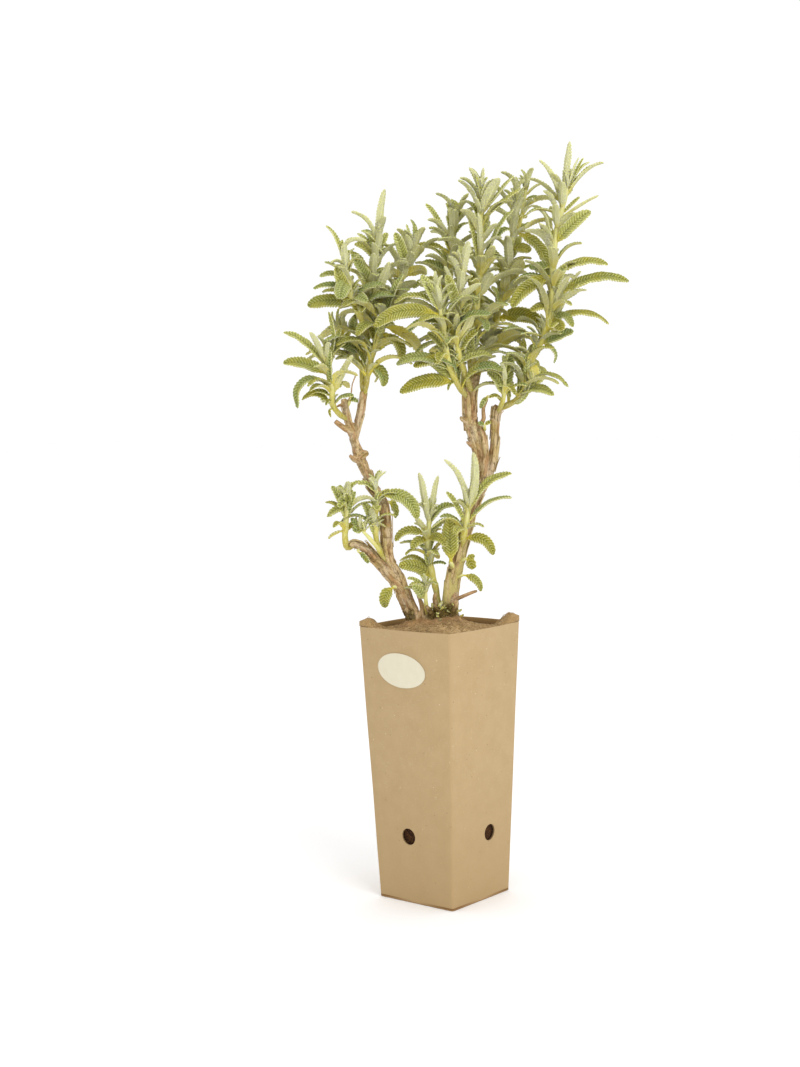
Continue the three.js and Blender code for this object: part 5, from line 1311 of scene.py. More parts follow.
@dataclass
class CardPot:
    """The deep square pot, folded from kraft card, with a hole punched low in each wall."""

    height: float = 215.0
    top: float = 90.0
    foot: float = 73.0
    card: float = 1.6
    floor: float = 2.4
    corner: float = 2.0
    bulge: float = 3.6
    cells: int = 20
    arcs: int = 4
    rise: float = 3.4
    hole_diameter: float = 13.0
    hole_height: float = 53.0
    hole_sides: int = 40
    punch_reach: float = 6.0
    fold_angle: float = math.radians(32)

    def half(self, height: float) -> float:
        """Half the pot's width at a height."""
        return blend(self.foot, self.top, height / self.height) / 2

    def bow(self, height: float, share: float) -> float:
        """How far a wall bows out, at a height and at a share of its width from the middle."""
        return self.bulge * (height / self.height) * (1 - share * share)

    def ring(self, height: float, inset: float) -> np.ndarray:
        """One level of the pot, in its own frame: four bowed walls and rounded corners.

        Args:
            height: The level's height.
            inset: How far inside the outer face it runs.

        Returns:
            Its points, anticlockwise.
        """
        radius = max(self.corner - inset, 0.5)
        flat = self.half(height) - inset - radius
        share = np.linspace(-1, 1, self.cells + 1)
        angle = np.radians(90 * np.arange(1, self.arcs + 1) / (self.arcs + 1) - 90)
        x = [*(share * flat), *(flat + radius * np.cos(angle))]
        y = [*(-flat - radius - self.bow(height, share)), *(radius * np.sin(angle) - flat)]
        walls = []
        for turn in range(4):
            c, s = math.cos(turn * math.pi / 2), math.sin(turn * math.pi / 2)
            walls.append(np.column_stack([x, y]) @ np.array([[c, s], [-s, c]]))
        level = np.concatenate(walls)
        return np.column_stack([level, np.full(len(level), height)])

    def profile(self) -> list[tuple[float, float]]:
        """The way round the card, from the middle of the underside, over the rim, to the inner floor.

        Returns:
            Heights and insets.
        """
        walls = np.arange(1.0, self.height - 1, self.rise)
        outside = [(0.0, 3.0), (0.0, 0.5), (0.15, 0.12), (0.5, 0.0), *[(z, 0.0) for z in walls]]
        rim = [(self.height - 0.4, 0.0), (self.height - 0.1, 0.1), (self.height, 0.35)]
        inside = [(z, self.card) for z in reversed(walls) if z > self.floor + 1]
        return [*outside, *rim, *[(z, self.card - inset) for z, inset in reversed(rim)], *inside,
                (self.floor, self.card)]

    def wall_face(self, x: np.ndarray, z: np.ndarray) -> np.ndarray:
        """How far the front wall stands from the axis at x and z."""
        return self.half(z) + self.bow(z, x / (self.half(z) - self.corner))

    @staticmethod
    def warp(points: np.ndarray) -> np.ndarray:
        """Slight waves of card that has been folded and handled, least at the foot.

        Args:
            points: The pot's points.

        Returns:
            The points, moved in or out.
        """
        waves = 0.22 * noise_at(points, (34.0, 34.0, 60.0)) + 0.05 * noise_at(points, (7.0, 7.0, 9.0))
        share = smooth(4, 60, points[:, 2])[:, None]
        return points + unit(points * LEVEL) * share * waves[:, None]

    def punched(self, piece: Object) -> None:
        """Punches the four holes through the walls.

        Args:
            piece: The pot.
        """
        punches = []
        angle, radius = circle(self.hole_sides), self.hole_diameter / 2
        for wall in Wall:
            turn, offset = wall.value
            x, z = offset + np.cos(angle) * radius, self.hole_height + np.sin(angle) * radius
            ends = [np.column_stack([x, np.full(len(x), depth - self.half(self.hole_height)), z])
                    for depth in (-self.punch_reach, self.punch_reach)]
            points = np.concatenate(ends) @ np.array(Matrix.Rotation(turn * math.pi / 2, 3, "Z")).T
            punches.append(Patch(from_pot(points), ring_faces(2, self.hole_sides)))
        tool = make_piece("punches", punches, [])
        bm = bmesh.new()
        bm.from_mesh(tool.data)
        bmesh.ops.recalc_face_normals(bm, faces=bm.faces)
        bm.to_mesh(tool.data)
        bm.free()
        cut = piece.modifiers.new("holes", "BOOLEAN")
        cut.operation = "DIFFERENCE"
        cut.solver = "EXACT"
        cut.object = tool
        applied(piece)
        mesh = tool.data
        bpy.data.objects.remove(tool)
        bpy.data.meshes.remove(mesh)

    def build(self, card: Material) -> None:
        """Builds and settles the pot.

        Args:
            card: The card's material.
        """
        levels = [self.ring(height, inset) for height, inset in self.profile()]
        points = self.warp(np.concatenate(levels))
        patch = Patch(from_pot(points), ring_faces(len(levels), len(levels[0])))
        piece = make_piece("folded_card_pot", [patch], [card])
        self.punched(piece)
        mesh = piece.data
        mesh.shade_smooth()
        mesh.set_sharp_from_angle(angle=self.fold_angle)
        x, y, z = (read(mesh.vertices, "co") / MM).T
        half = self.half(z)
        lesser, greater = np.minimum(np.abs(x), np.abs(y)), np.maximum(np.abs(x), np.abs(y))
        inner = smooth(0.6, 1.3, half - greater + self.bow(z, lesser / half))
        set_field(mesh, "card", np.stack([half - lesser, z, inner], axis=-1))
        settle(piece, "card", "card_pot")


@dataclass
class Label:
    """The oval paper label, bare, that follows the bowed front wall."""

    pot: CardPot
    width: float = 47.0
    height: float = 26.7
    x: float = -1.5
    z: float = 184.0
    turn: float = math.radians(-4)
    paper: float = 0.22
    off: float = 0.3
    rings: int = 8
    spokes: int = 72
    lifted: float = 0.12
    rim_angle: float = math.radians(40)

    def build(self, paper: Material) -> None:
        """Builds and settles the label, its rim a little lifted.

        Args:
            paper: The label's material.
        """
        shares = [*np.linspace(0.02, 0.985, self.rings), 1.0]
        layers = [*[(share, self.paper) for share in shares], *[(share, 0.0) for share in shares[::-1]]]
        layers = np.array(layers)
        share, rise = layers[:, :1], layers[:, 1:]
        angle = circle(self.spokes)
        flat_x, flat_z = np.cos(angle) * share * self.width / 2, np.sin(angle) * share * self.height / 2
        x = self.x + flat_x * math.cos(self.turn) - flat_z * math.sin(self.turn)
        z = self.z + flat_x * math.sin(self.turn) + flat_z * math.cos(self.turn)
        lift = self.lifted * smooth(0.86, 1.0, share) * (0.5 + 0.5 * np.sin(3 * angle + 1))
        points = rows_of(x.shape, x, -(self.pot.wall_face(x, z) + self.off + rise + lift), z)
        fields = {"paper": rows_of(x.shape, share, flat_x, flat_z)}
        piece = make_piece("paper_label", [Patch(from_pot(points), ring_faces(*x.shape), fields)], [paper])
        piece.data.set_sharp_from_angle(angle=self.rim_angle)
        settle(piece, "label", "label")


@dataclass
class FibreMat:
    """The needled fibre mat laid over the soil, drawn up round the stool and in the pot's corners."""

    pot: CardPot
    wood: Wood
    edge: float = 211.5
    mound: float = 7.5
    spread: float = 17.0
    peak_spread: float = 7.0
    peak_inset: float = 4.5
    hollow_depth: float = 4.5
    peaks: tuple = ((-1, -1, 8.5), (1, -1, 1.5), (1, 1, 9.0), (-1, 1, 4.0))
    thickness: float = 2.4
    clear: float = 0.4
    wood_below: float = 240.0
    cells: int = 104
    strands: int = 1500
    heaps: tuple = (((-19, 214, 0), 3.4, 8.5), ((12, 214, -9), 4.2, 9.0))
    STRAND_TAPER = np.array([0.5, 1, 1, 1, 1, 0.4])

    def rise(self, x: np.ndarray, y: np.ndarray) -> np.ndarray:
        """Height of the mat's upper face, with its bunched corners.

        Args:
            x: Across the pot.
            y: Along the pot.

        Returns:
            The heights there.
        """
        height = self.ground(x, y)
        corner = self.pot.half(self.edge) - self.peak_inset
        for side, end, peak in self.peaks:
            away = np.hypot(x - side * corner, y - end * corner)
            height = height + 1.15 * peak * np.exp(-((away / (1.41 * self.peak_spread)) ** 2.2))
        return height

    def ground(self, x: np.ndarray, y: np.ndarray) -> np.ndarray:
        """Height of the mat without its bunched corners: a mound, two small heaps and two hollows.

        Args:
            x: Across the pot.
            y: Along the pot.

        Returns:
            The heights there.
        """
        half = self.pot.half(self.edge)
        height = self.edge + self.mound * np.exp(-(x**2 + y**2) / (2 * self.spread**2))
        for spot, rise, spread in self.heaps:
            centre = to_pot(place(*spot))
            away = (x - centre[0]) ** 2 + (y - centre[1]) ** 2
            height = height + rise * np.exp(-away / (2 * spread**2))
        back = np.exp(-(((x - 10) / 17) ** 2) - ((y - half) / 7) ** 2)
        left = np.exp(-(((y + 2) / 17) ** 2) - ((x + half) / 7) ** 2)
        return height - self.hollow_depth * (back + left)

    @staticmethod
    def relief(points: np.ndarray) -> np.ndarray:
        """Small lumps and matted fibres over the mat.

        Args:
            points: Points of the mat.

        Returns:
            How far each is raised.
        """
        flat = points * LEVEL
        slant = flat @ np.array(Matrix.Rotation(0.7, 3, "Z"))
        lumps = 0.45 * noise_at(flat, (8.0, 8.0, 8.0)) + 0.3 * noise_at(flat, (3.1, 3.1, 3.1))
        return lumps + 0.2 * noise_at(flat, (0.9, 4.0, 1.0)) + 0.2 * noise_at(slant, (0.9, 4.0, 1.0))

    def inside_wood(self, points: np.ndarray) -> np.ndarray:
        """How deep points lie inside the wood.

        Args:
            points: Points of the mat.

        Returns:
            Each one's depth, negative outside.
        """
        axes = self.wood.axes()
        low = axes["point"][:, 2] < self.wood_below
        lumps = np.array([place(*row[:3]) for row in STOOL])
        centres = to_pot(np.concatenate([axes["point"][low], lumps]))
        radii = np.concatenate([axes["radius"][low], [row[3] for row in STOOL]])
        return (radii[None] - np.linalg.norm(points[:, None] - centres[None], axis=2)).max(axis=1)

    def grid(self) -> tuple[np.ndarray, np.ndarray, np.ndarray]:
        """The upper face over a square grid.

        Returns:
            Its points, how near each lies to the edge (1 on it), and how deep each lies in the wood.
        """
        share = np.linspace(-1, 1, self.cells + 1)
        u, v = (a.ravel() for a in np.meshgrid(share, share, indexing="ij"))
        guess = self.rise(u * self.pot.half(self.edge), v * self.pot.half(self.edge))
        bunched = smooth(1.5, 4.0, guess - self.edge) * smooth(0.7, 0.85, np.minimum(np.abs(u), np.abs(v)))
        ragged = 0.9 * np.maximum(noise_at(np.column_stack([u, v, u * 0]) * 40, (3.0, 3.0, 3.0)), 0)
        half = self.pot.half(guess) - self.pot.card - self.clear - ragged * (1 - bunched) + 0.25 * bunched
        x = u * (half + np.abs(u) * self.pot.bow(guess, v))
        y = v * (half + np.abs(v) * self.pot.bow(guess, u))
        points = np.column_stack([x, y, self.rise(x, y)])
        deep = self.inside_wood(points)
        points[:, 2] += self.relief(points) * (1 + 1.2 * bunched) + 1.3 * smooth(-4.5, 0.5, deep)
        return points, np.maximum(np.abs(u), np.abs(v)), deep

    def spilt(self, upper: np.ndarray, lower: np.ndarray, edge: np.ndarray) -> tuple[np.ndarray, np.ndarray]:
        """The two faces with the bunched corners spilling over the card's rim.

        Args:
            upper: The points of the upper face.
            lower: The points of the lower face.
            edge: How near each lies to the edge, 1 on it.

        Returns:
            The upper and the lower points.
        """
        rim = self.pot.height + 0.35
        high = smooth(0.9, 2.0, upper[:, 2] - rim)
        outermost = (edge > 1 - 1 / self.cells) * high
        push = unit(upper * LEVEL) * (self.pot.card * 1.15 * outermost)[:, None]
        upper, lower = upper + push, lower + push
        upper[:, 2] -= 0.5 * outermost
        over = (edge > 1 - 3 / self.cells) & (high > 0.5)
        lower[over, 2] = np.minimum(rim, upper[over, 2] - 0.2)
        return upper, lower

    def sheet_faces(self, buried: np.ndarray) -> list[list[int]]:
        """The faces of the two sides and of every edge between them.

        Args:
            buried: Which points of the upper face lie deep in the wood.

        Returns:
            The faces, for the upper points followed by the lower ones.
        """
        count = self.cells + 1
        under = count * count
        buried = buried.reshape(count, count)
        framed = np.zeros((count + 1, count + 1), bool)
        framed[1:-1, 1:-1] = ~(buried[:-1, :-1] & buried[1:, :-1] & buried[:-1, 1:] & buried[1:, 1:])
        faces = []
        for i, j in (np.argwhere(framed) - 1).tolist():
            a, b, c, d = i * count + j, (i + 1) * count + j, (i + 1) * count + j + 1, i * count + j + 1
            faces += [[a, b, c, d], [under + d, under + c, under + b, under + a]]
            sides = ((a, b, i, j - 1), (b, c, i + 1, j), (c, d, i, j + 1), (d, a, i - 1, j))
            for start, end, row, column in sides:
                if not framed[row + 1, column + 1]:
                    faces.append([end, start, under + start, under + end])
        return faces

    def build(self, felt: Material) -> None:
        """Args:
            felt: The mat's material.
        """
        upper, edge, deep = self.grid()
        lower = upper.copy()
        thin = self.thickness * (1 - 0.35 * smooth(0.97, 1.0, edge))
        lower[:, 2] = np.minimum(upper[:, 2], self.ground(upper[:, 0], upper[:, 1])) - thin
        upper, lower = self.spilt(upper, lower, edge)
        points = np.concatenate([upper, lower])
        heaped = smooth(1.5, 4.0, upper[:, 2] - self.edge) * smooth(0.6, 0.8, edge)
        rows = np.tile(np.column_stack([smooth(-9, 0, deep), edge, heaped]), (2, 1))
        faces = np.array(self.sheet_faces(deep > 1.6))
        used, corners = np.unique(faces, return_inverse=True)
        patch = Patch(from_pot(points[used]), corners.reshape(faces.shape).tolist(), {"felt": rows[used]})
        mat = make_piece("fibre_mat_sheet", [patch], [felt])
        settle(mat, "fibre_mat", "mulch_mat")
        strands = make_piece("fibre_strands", self.strand_patches(upper, deep), [felt])
        settle(strands, "fibre_mat")
        flat = 2 * (self.pot.half(self.edge) - self.pot.card) * MM

    def strand_patches(self, upper: np.ndarray, deep: np.ndarray) -> list[Patch]:
        """Loose fibres that lie over the mat, thicker on the ground round the wood.

        Args:
            upper: The points of the upper face.
            deep: How deep each lies in the wood.

        Returns:
            A body for each fibre.
        """
        tree = tree_of(upper * LEVEL)
        draws = Draws(55)
        reach = self.pot.half(self.edge) - self.pot.card - 1.5
        patches = []
        while len(patches) < self.strands:
            x, y = draws.stray(reach), draws.stray(reach)
            near = tree.find((x, y, 0))[1]
            if deep[near] > 0.3 or (deep[near] < -9 and draws.next() < 0.45):
                continue
            start = draws.next() * 2 * math.pi
            length = 3.5 + 8.5 * draws.next() ** 2
            share = np.linspace(-0.5, 0.5, 6)
            bearing = start + draws.stray(1.6) * share
            along = length * share
            line = np.column_stack([x + along * np.cos(bearing), y + along * np.sin(bearing)])
            line = np.clip(line, -reach - 0.8, reach + 0.8)
            ground = [upper[tree.find((*spot, 0))[1], 2] for spot in line]
            lift = 0.08 + (0.2 + 0.9 * draws.next() ** 3) * (1 - (2 * share) ** 2)
            radii = (0.11 + 0.09 * draws.next()) * self.STRAND_TAPER
            strand = tube(from_pot(np.column_stack([line, ground + lift])), radii, 3)
            near_wood = float(smooth(-9, 0, np.array(deep[near])))
            strand.fields["felt"] = rows_of((6, 3), near_wood, draws.next(), 0.0)
            patches.append(strand)
        return patches


@dataclass
class RootBall:
    """The compost and roots that fill the pot under the mat, seen through the punched holes."""

    pot: CardPot
    mat: FibreMat
    clear: float = 0.35
    rise: float = 3.0
    crumb: float = 0.7
    shoulder: float = 1.3
    below_mat: float = 1.2
    top_rings: int = 14

    def build(self, compost: Material) -> None:
        """Builds and settles the root ball.

        Args:
            compost: The compost's material.
        """
        top = self.mat.edge - self.mat.hollow_depth * self.shoulder - self.mat.thickness
        heights = np.arange(self.pot.floor + self.clear, top, self.rise)
        walls = [self.pot.ring(height, self.pot.card + self.clear) for height in heights]
        levels = [*[walls[0] * np.array([share, share, 1.0]) for share in (0.1, 0.5, 0.9)], *walls]
        for share in np.linspace(0.97, 0.03, self.top_rings):
            level = walls[-1] * np.array([share, share, 1.0])
            ground = self.mat.ground(level[:, 0], level[:, 1]) - self.mat.thickness - self.below_mat
            level[:, 2] = np.maximum(ground, top)
            levels.append(level)
        points = np.concatenate(levels)
        crumbs = 0.5 + 0.5 * noise_at(points, (2.4, 2.4, 2.4)) + 0.3 * noise_at(points, (1.1, 1.1, 1.1))
        points = points - unit(points * LEVEL) * (self.crumb * np.maximum(crumbs, 0))[:, None]
        patch = Patch(from_pot(points), ring_faces(len(levels), len(levels[0])))
        settle(make_piece("compost_ball", [patch], [compost]), "soil", "root_ball")


class Graph:
    """A material's node tree under construction."""

    def __init__(self, name: str) -> None:
        """Starts a material with an output and the object's own coordinates.

        Args:
            name: The material's name.
        """
        self.material = bpy.data.materials.new(name)
        self.material.use_nodes = True
        self.tree = self.material.node_tree
        self.tree.nodes.clear()
        self.output = self.tree.nodes.new("ShaderNodeOutputMaterial")
        self.place = self.add("TexCoord", out="Object")

    def add(self, kind: str, inputs: dict | None = None, out: int | str = 0, **settings: object) -> Socket:
        """Adds a node with its settings and links.

        Args:
            kind: The node's type, without its prefix.
            inputs: Values, hex colours or sockets, by the input's name or number.
            out: The wanted output, by name or number.
            settings: The node's own settings.

        Returns:
            The wanted output.
        """
        node = self.tree.nodes.new(f"ShaderNode{kind}")
        for key, value in settings.items():
            setattr(node, key, value)
        for key, value in (inputs or {}).items():
            if isinstance(value, Socket):
                self.tree.links.new(value, node.inputs[key])
            else:
                node.inputs[key].default_value = linear(value) if isinstance(value, str) else value
        return node.outputs[out]

    def field(self, name: str) -> list[Socket]:
        """The three numbers of a field of the mesh.

        Args:
            name: The field's name.

        Returns:
            A socket for each number.
        """
        vector = self.add("Attribute", out="Vector", attribute_name=name)
        return list(self.add("SeparateXYZ", {0: vector}).node.outputs)

    def coated(self, color: Socket | str, *coats: tuple) -> Socket:
        """Lays tints over a colour one by one, each where a pattern passes from one value to another.

        Args:
            color: The colour beneath.
            coats: Pattern, its value without the tint, its value with the tint, the tint's most, the tint,
                and any masks that hold it back.

        Returns:
            The colour on top.
        """
        for pattern, without, full, most, tint, *masks in coats:
            share = self.add("MapRange", {0: pattern, 1: without, 2: full, 4: most})
            for mask in masks:
                share = self.add("Math", {0: share, 1: mask}, operation="MULTIPLY")
            color = self.add("Mix", {0: share, 6: color, 7: tint}, 2, data_type="RGBA")
        return color

    def dressed(
        self, color: Socket, height: Socket, strength: float, depth: float, **sockets: object
    ) -> Material:
        """Ends the tree in one surface, roughened by a fine bump.

        Args:
            color: The surface's colour.
            height: The bump's height.
            strength: The bump's strength.
            depth: The bump's depth in millimetres.
            sockets: The surface's other values, by the inputs' names.

        Returns:
            The material.
        """
        bump = self.add("Bump", {"Height": height, "Strength": strength, "Distance": depth * MM})
        names = (name.replace("_", " ").title().replace("Ior", "IOR") for name in sockets)
        values = dict(zip(names, sockets.values()))
        surface = self.add("BsdfPrincipled", {"Base Color": color, "Normal": bump, **values})
        self.tree.links.new(surface, self.output.inputs["Surface"])
        return self.material


def cell(size_mm: float) -> float:
    """The scale of a pattern whose cells have a real size in millimetres."""
    return 1 / (size_mm * MM)


@dataclass(frozen=True)
class FeltedLeaf:
    """Living leaf blade under a felt of short branched hairs, as grown.

    The felt hides the green's gloss: the upper side looks grey-green and dusty, the under side pale and
    velvety, and the margins and veins stand out paler still where the hairs are densest.
    """

    upper_old: str = "#9C962A"
    upper_cool: str = "#748A4E"
    upper_young: str = "#CED07E"
    under_old: str = "#CEC040"
    under_young: str = "#CCCD9E"
    margin: str = "#E0DDAE"
    # Yellow of the leaf bases, partly their own colour and partly painted yellow-olive shade near the stems
    # inside the crown
    stalk: str = "#DCCB40"
    shaded: str = "#BCAA10"
    # Dark vein colour, partly the veins' own and partly painted shade in their grooves
    midrib: str = "#5A601C"
    # Tufts of real felt are about 0.1 mm and would not show, so the felt is drawn coarser
    felt_mm: float = 0.55
    patch_mm: float = 7.0
    net_mm: float = 1.7
    hair_mm: float = 0.16

    def build(self) -> Material:
        """Builds the material from the leaves' blade and growth fields.

        Returns:
            The material.
        """
        g = Graph("felted_leaf_grown")
        out, veins, side = g.field("blade")
        young, lot, along = g.field("growth")
        patches, felt, hairs = (
            g.add("TexNoise", {"Vector": g.place, "Scale": cell(size), "Detail": detail, "Roughness": rough})
            for size, detail, rough in ((self.patch_mm, 2.0, 0.5), (self.felt_mm, 3.0, 0.65),
                                        (self.felt_mm / 3, 1.0, 0.5))
        )
        # Leaves of one age differ, by their lot
        luck = g.add("Math", {0: g.add("Math", {0: lot, 1: 7.3}, operation="MULTIPLY")}, operation="FRACT")
        age = g.add("Math", {0: luck, 1: 0.4, 2: young}, operation="MULTIPLY_ADD")
        age = g.add("Math", {0: age, 1: 0.17}, operation="SUBTRACT", use_clamp=True)
        aged = g.add("Math", {0: 1.0, 1: age}, operation="SUBTRACT")
        beneath = g.add("MapRange", {0: side, 1: 0.35, 2: 0.65})
        above = g.add("Math", {0: 1.0, 1: beneath}, operation="SUBTRACT")
        upper = g.coated(self.upper_old, (lot, 0.5, 0.7, 1.0, self.upper_cool),
                         (age, 0.0, 1.0, 1.0, self.upper_young))
        under = g.coated(self.under_old, (age, 0.15, 0.65, 1.0, self.under_young))

        # Veins lie half way between the quilted ridges, and the finest of them make a net. Their dark lines
        # on the upper side and the net's dark lines are partly the veins' own colour and partly painted
        # shade in their grooves
        turn = g.add("Math", {0: veins, 1: 2 * math.pi}, operation="MULTIPLY")
        wave = g.add("Math", {0: turn}, operation="COSINE")
        inner = g.add("MapRange", {0: out, 1: 0.95, 2: 0.55})
        beads = g.add("MapRange", {0: wave, 1: -0.6, 2: 0.4, 3: 0.35, 4: 1.0})
        vein, rib, rim = (
            g.add("MapRange", {0: source, 1: low, 2: high}, interpolation_type="SMOOTHSTEP")
            for source, low, high in ((wave, -0.1, -0.85), (out, 0.14, 0.04), (out, 0.72, 0.98))
        )
        mesh = g.add("TexVoronoi", {"Vector": g.place, "Scale": cell(self.net_mm)},
                     feature="DISTANCE_TO_EDGE")
        net = g.add("MapRange", {0: mesh, 1: 0.16, 2: 0.02})
        # The stalk's yellow runs up from the base, furthest on the under sides of old leaves: partly the
        # leaf base's own colour, partly painted shade inside the crown
        reach = g.add("Math", {0: beneath, 1: aged}, operation="MULTIPLY")
        reach = g.add("MapRange", {0: reach, 3: 0.26, 4: 0.75})
        color = g.coated(
            upper,
            (beneath, 0.0, 1.0, 1.0, under),
            (vein, 0.0, 1.0, 0.55, self.midrib, inner, above),
            (wave, 0.1, 0.9, 0.34, self.margin, inner),
            (vein, 0.0, 1.0, 0.65, self.margin, inner, beneath),
            (net, 0.0, 1.0, 0.5, self.midrib),
            (net, 0.0, 1.0, 0.5, self.margin, beneath),
            (rib, 0.0, 1.0, 0.4, self.midrib, above),
            (rib, 0.0, 1.0, 0.75, self.margin, beneath),
            (rim, 0.0, 1.0, 1.0, self.margin, beads),
            (along, reach, 0.03, 0.8, self.stalk),
            (patches, 0.45, 0.75, 0.34, self.shaded, aged),
            (felt, 0.5, 0.72, 0.3, self.margin),
        )
        height = g.add("Math", {0: felt, 1: hairs}, operation="ADD")
        height = g.add("Math", {0: net, 1: -1.2, 2: height}, operation="MULTIPLY_ADD")
        quilt = g.add("Math", {0: wave, 1: inner}, operation="MULTIPLY")
        height = g.add("Math", {0: quilt, 1: 1.3, 2: height}, operation="MULTIPLY_ADD")
        return g.dressed(color, height, 0.6, self.hair_mm, roughness=0.9, ior=1.4, sheen_weight=0.04,
                         sheen_roughness=0.4, sheen_tint="#F2F0C8", specular_ior_level=0.06,
                         subsurface_weight=0.35, subsurface_scale=1.8 * MM,
                         subsurface_radius=(1.0, 1.0, 0.12))


@dataclass(frozen=True)
class WoollyStem:
    """Young square stem under loose wool, as grown: golden and bare low down, pale and soft higher up."""

    tan: str = "#A59742"
    golden: str = "#C6BC52"
    pale: str = "#D8D48A"
    mauve: str = "#8B7566"
    wool: str = "#DDDBB4"
    # Locks of real wool are about 0.2 mm and would not show, so the wool is drawn coarser
    wool_mm: float = 0.8
    stain_mm: float = 12.0

    def build(self) -> Material:
        """Builds the material from the stems' growth field.

        Returns:
            The material.
        """
        g = Graph("woolly_stem_grown")
        along = g.field("growth")[0]
        stretched = g.add("Mapping", {"Vector": g.place, "Scale": (1.0, 1.0, 0.3)})
        wool = g.add("TexNoise", {"Vector": stretched, "Scale": cell(self.wool_mm), "Detail": 3.0})
        stain = g.add("TexNoise", {"Vector": g.place, "Scale": cell(self.stain_mm), "Detail": 2.0})
        color = g.coated(
            self.tan,
            (along, 0.08, 0.4, 1.0, self.golden),
            (along, 0.3, 0.75, 1.0, self.pale),
            (stain, 0.64, 0.78, 0.35, self.mauve),
            (wool, 0.45, 0.72, 0.6, self.wool),
        )
        return g.dressed(color, wool, 0.6, 0.25, roughness=0.8, ior=1.4, sheen_weight=0.15,
                         sheen_roughness=0.4, sheen_tint="#F4F0D0", specular_ior_level=0.2,
                         subsurface_weight=0.1, subsurface_scale=1.5 * MM,
                         subsurface_radius=(0.6, 1.0, 0.3))


@dataclass(frozen=True)
class Bark:
    """Thin fissured bark of a shrub, weathered: dry and matt, tan plates over dark cracks, grey in patches.

    Bare strips of the right trunk show smooth straw-coloured wood, the stool is dark and mossy, and broken
    ends are brown.
    """

    tan: str = "#D4B98E"
    brown: str = "#A0854E"
    grey: str = "#C8B496"
    crack: str = "#574418"
    straw: str = "#D2C286"
    olive: str = "#A69A50"
    russet: str = "#AD8058"
    moss: str = "#443416"
    lichen: str = "#84723C"
    cut: str = "#5C4424"
    # Real bark fibres are about 0.1 mm and would not show, so they are drawn coarser
    fibre_mm: float = 0.5
    plate_mm: float = 3.0
    patch_mm: float = 11.0
    speck_mm: float = 1.3

    def build(self) -> Material:
        """Builds the material from the bark's grain, wear and relief fields.

        Returns:
            The material.
        """
        g = Graph("bark_weathered")
        grain = g.add("Attribute", out="Vector", attribute_name="grain")
        mossy, bare, broken = g.field("wear")
        fissure, plate, _ = g.field("relief")
        along = g.add("Mapping", {"Vector": grain, "Scale": (1.0, 1.0, 0.25)})
        fibres, plates, patches, specks = (
            g.add("TexNoise", {"Vector": vector, "Scale": scale, "Detail": detail})
            for vector, scale, detail in (
                (along, 1 / self.fibre_mm, 4.0), (along, 1 / self.plate_mm, 3.0),
                (g.place, cell(self.patch_mm), 2.0), (g.place, cell(self.speck_mm), 3.0))
        )
        covered = g.add("Math", {0: 1.0, 1: bare}, operation="SUBTRACT", use_clamp=True)
        straw = g.coated(self.straw, (fibres, 0.0, 1.0, 1.0, self.olive))
        growth = g.coated(self.moss, (specks, 0.42, 0.62, 1.0, self.lichen))
        color = g.coated(
            self.brown,
            (plates, 0.35, 0.65, 1.0, self.tan),
            (patches, 0.48, 0.66, 0.75, self.grey),
            (bare, 0.0, 1.0, 1.0, straw),
            (patches, 0.42, 0.3, 0.4, self.russet, covered),
            (fibres, 0.47, 0.33, 0.65, self.crack),
            (plate, 0.0, -0.25, 0.55, self.russet, covered),
            (fissure, 0.0, 1.0, 0.6, self.crack, covered),
            (mossy, 0.0, 1.0, 1.0, growth),
            (broken, 0.0, 1.0, 0.85, self.cut),
        )
        height = g.add("Math", {0: fibres, 1: specks}, operation="ADD")
        return g.dressed(color, height, 0.7, 0.35, roughness=0.86, ior=1.5, specular_ior_level=0.3)


@dataclass(frozen=True)
class Moss:
    """Cushion moss, living and dry at the tips: short olive tufts that scatter light between dark roots."""

    root: str = "#302210"
    leaf: str = "#69561F"
    tip: str = "#AE9C58"
    fuzz_mm: float = 0.5

    def build(self) -> Material:
        """Builds the material from the tufts' field.

        Returns:
            The material.
        """
        g = Graph("cushion_moss_grown")
        dry, _, up = g.field("tuft")
        color = g.coated(self.root, (up, 0.0, 0.6, 1.0, self.leaf), (up, 0.0, 1.0, 1.0, self.tip, dry))
        fuzz = g.add("TexNoise", {"Vector": g.place, "Scale": cell(self.fuzz_mm)})
        return g.dressed(color, fuzz, 0.4, 0.1, roughness=0.9, ior=1.4, specular_ior_level=0.2)


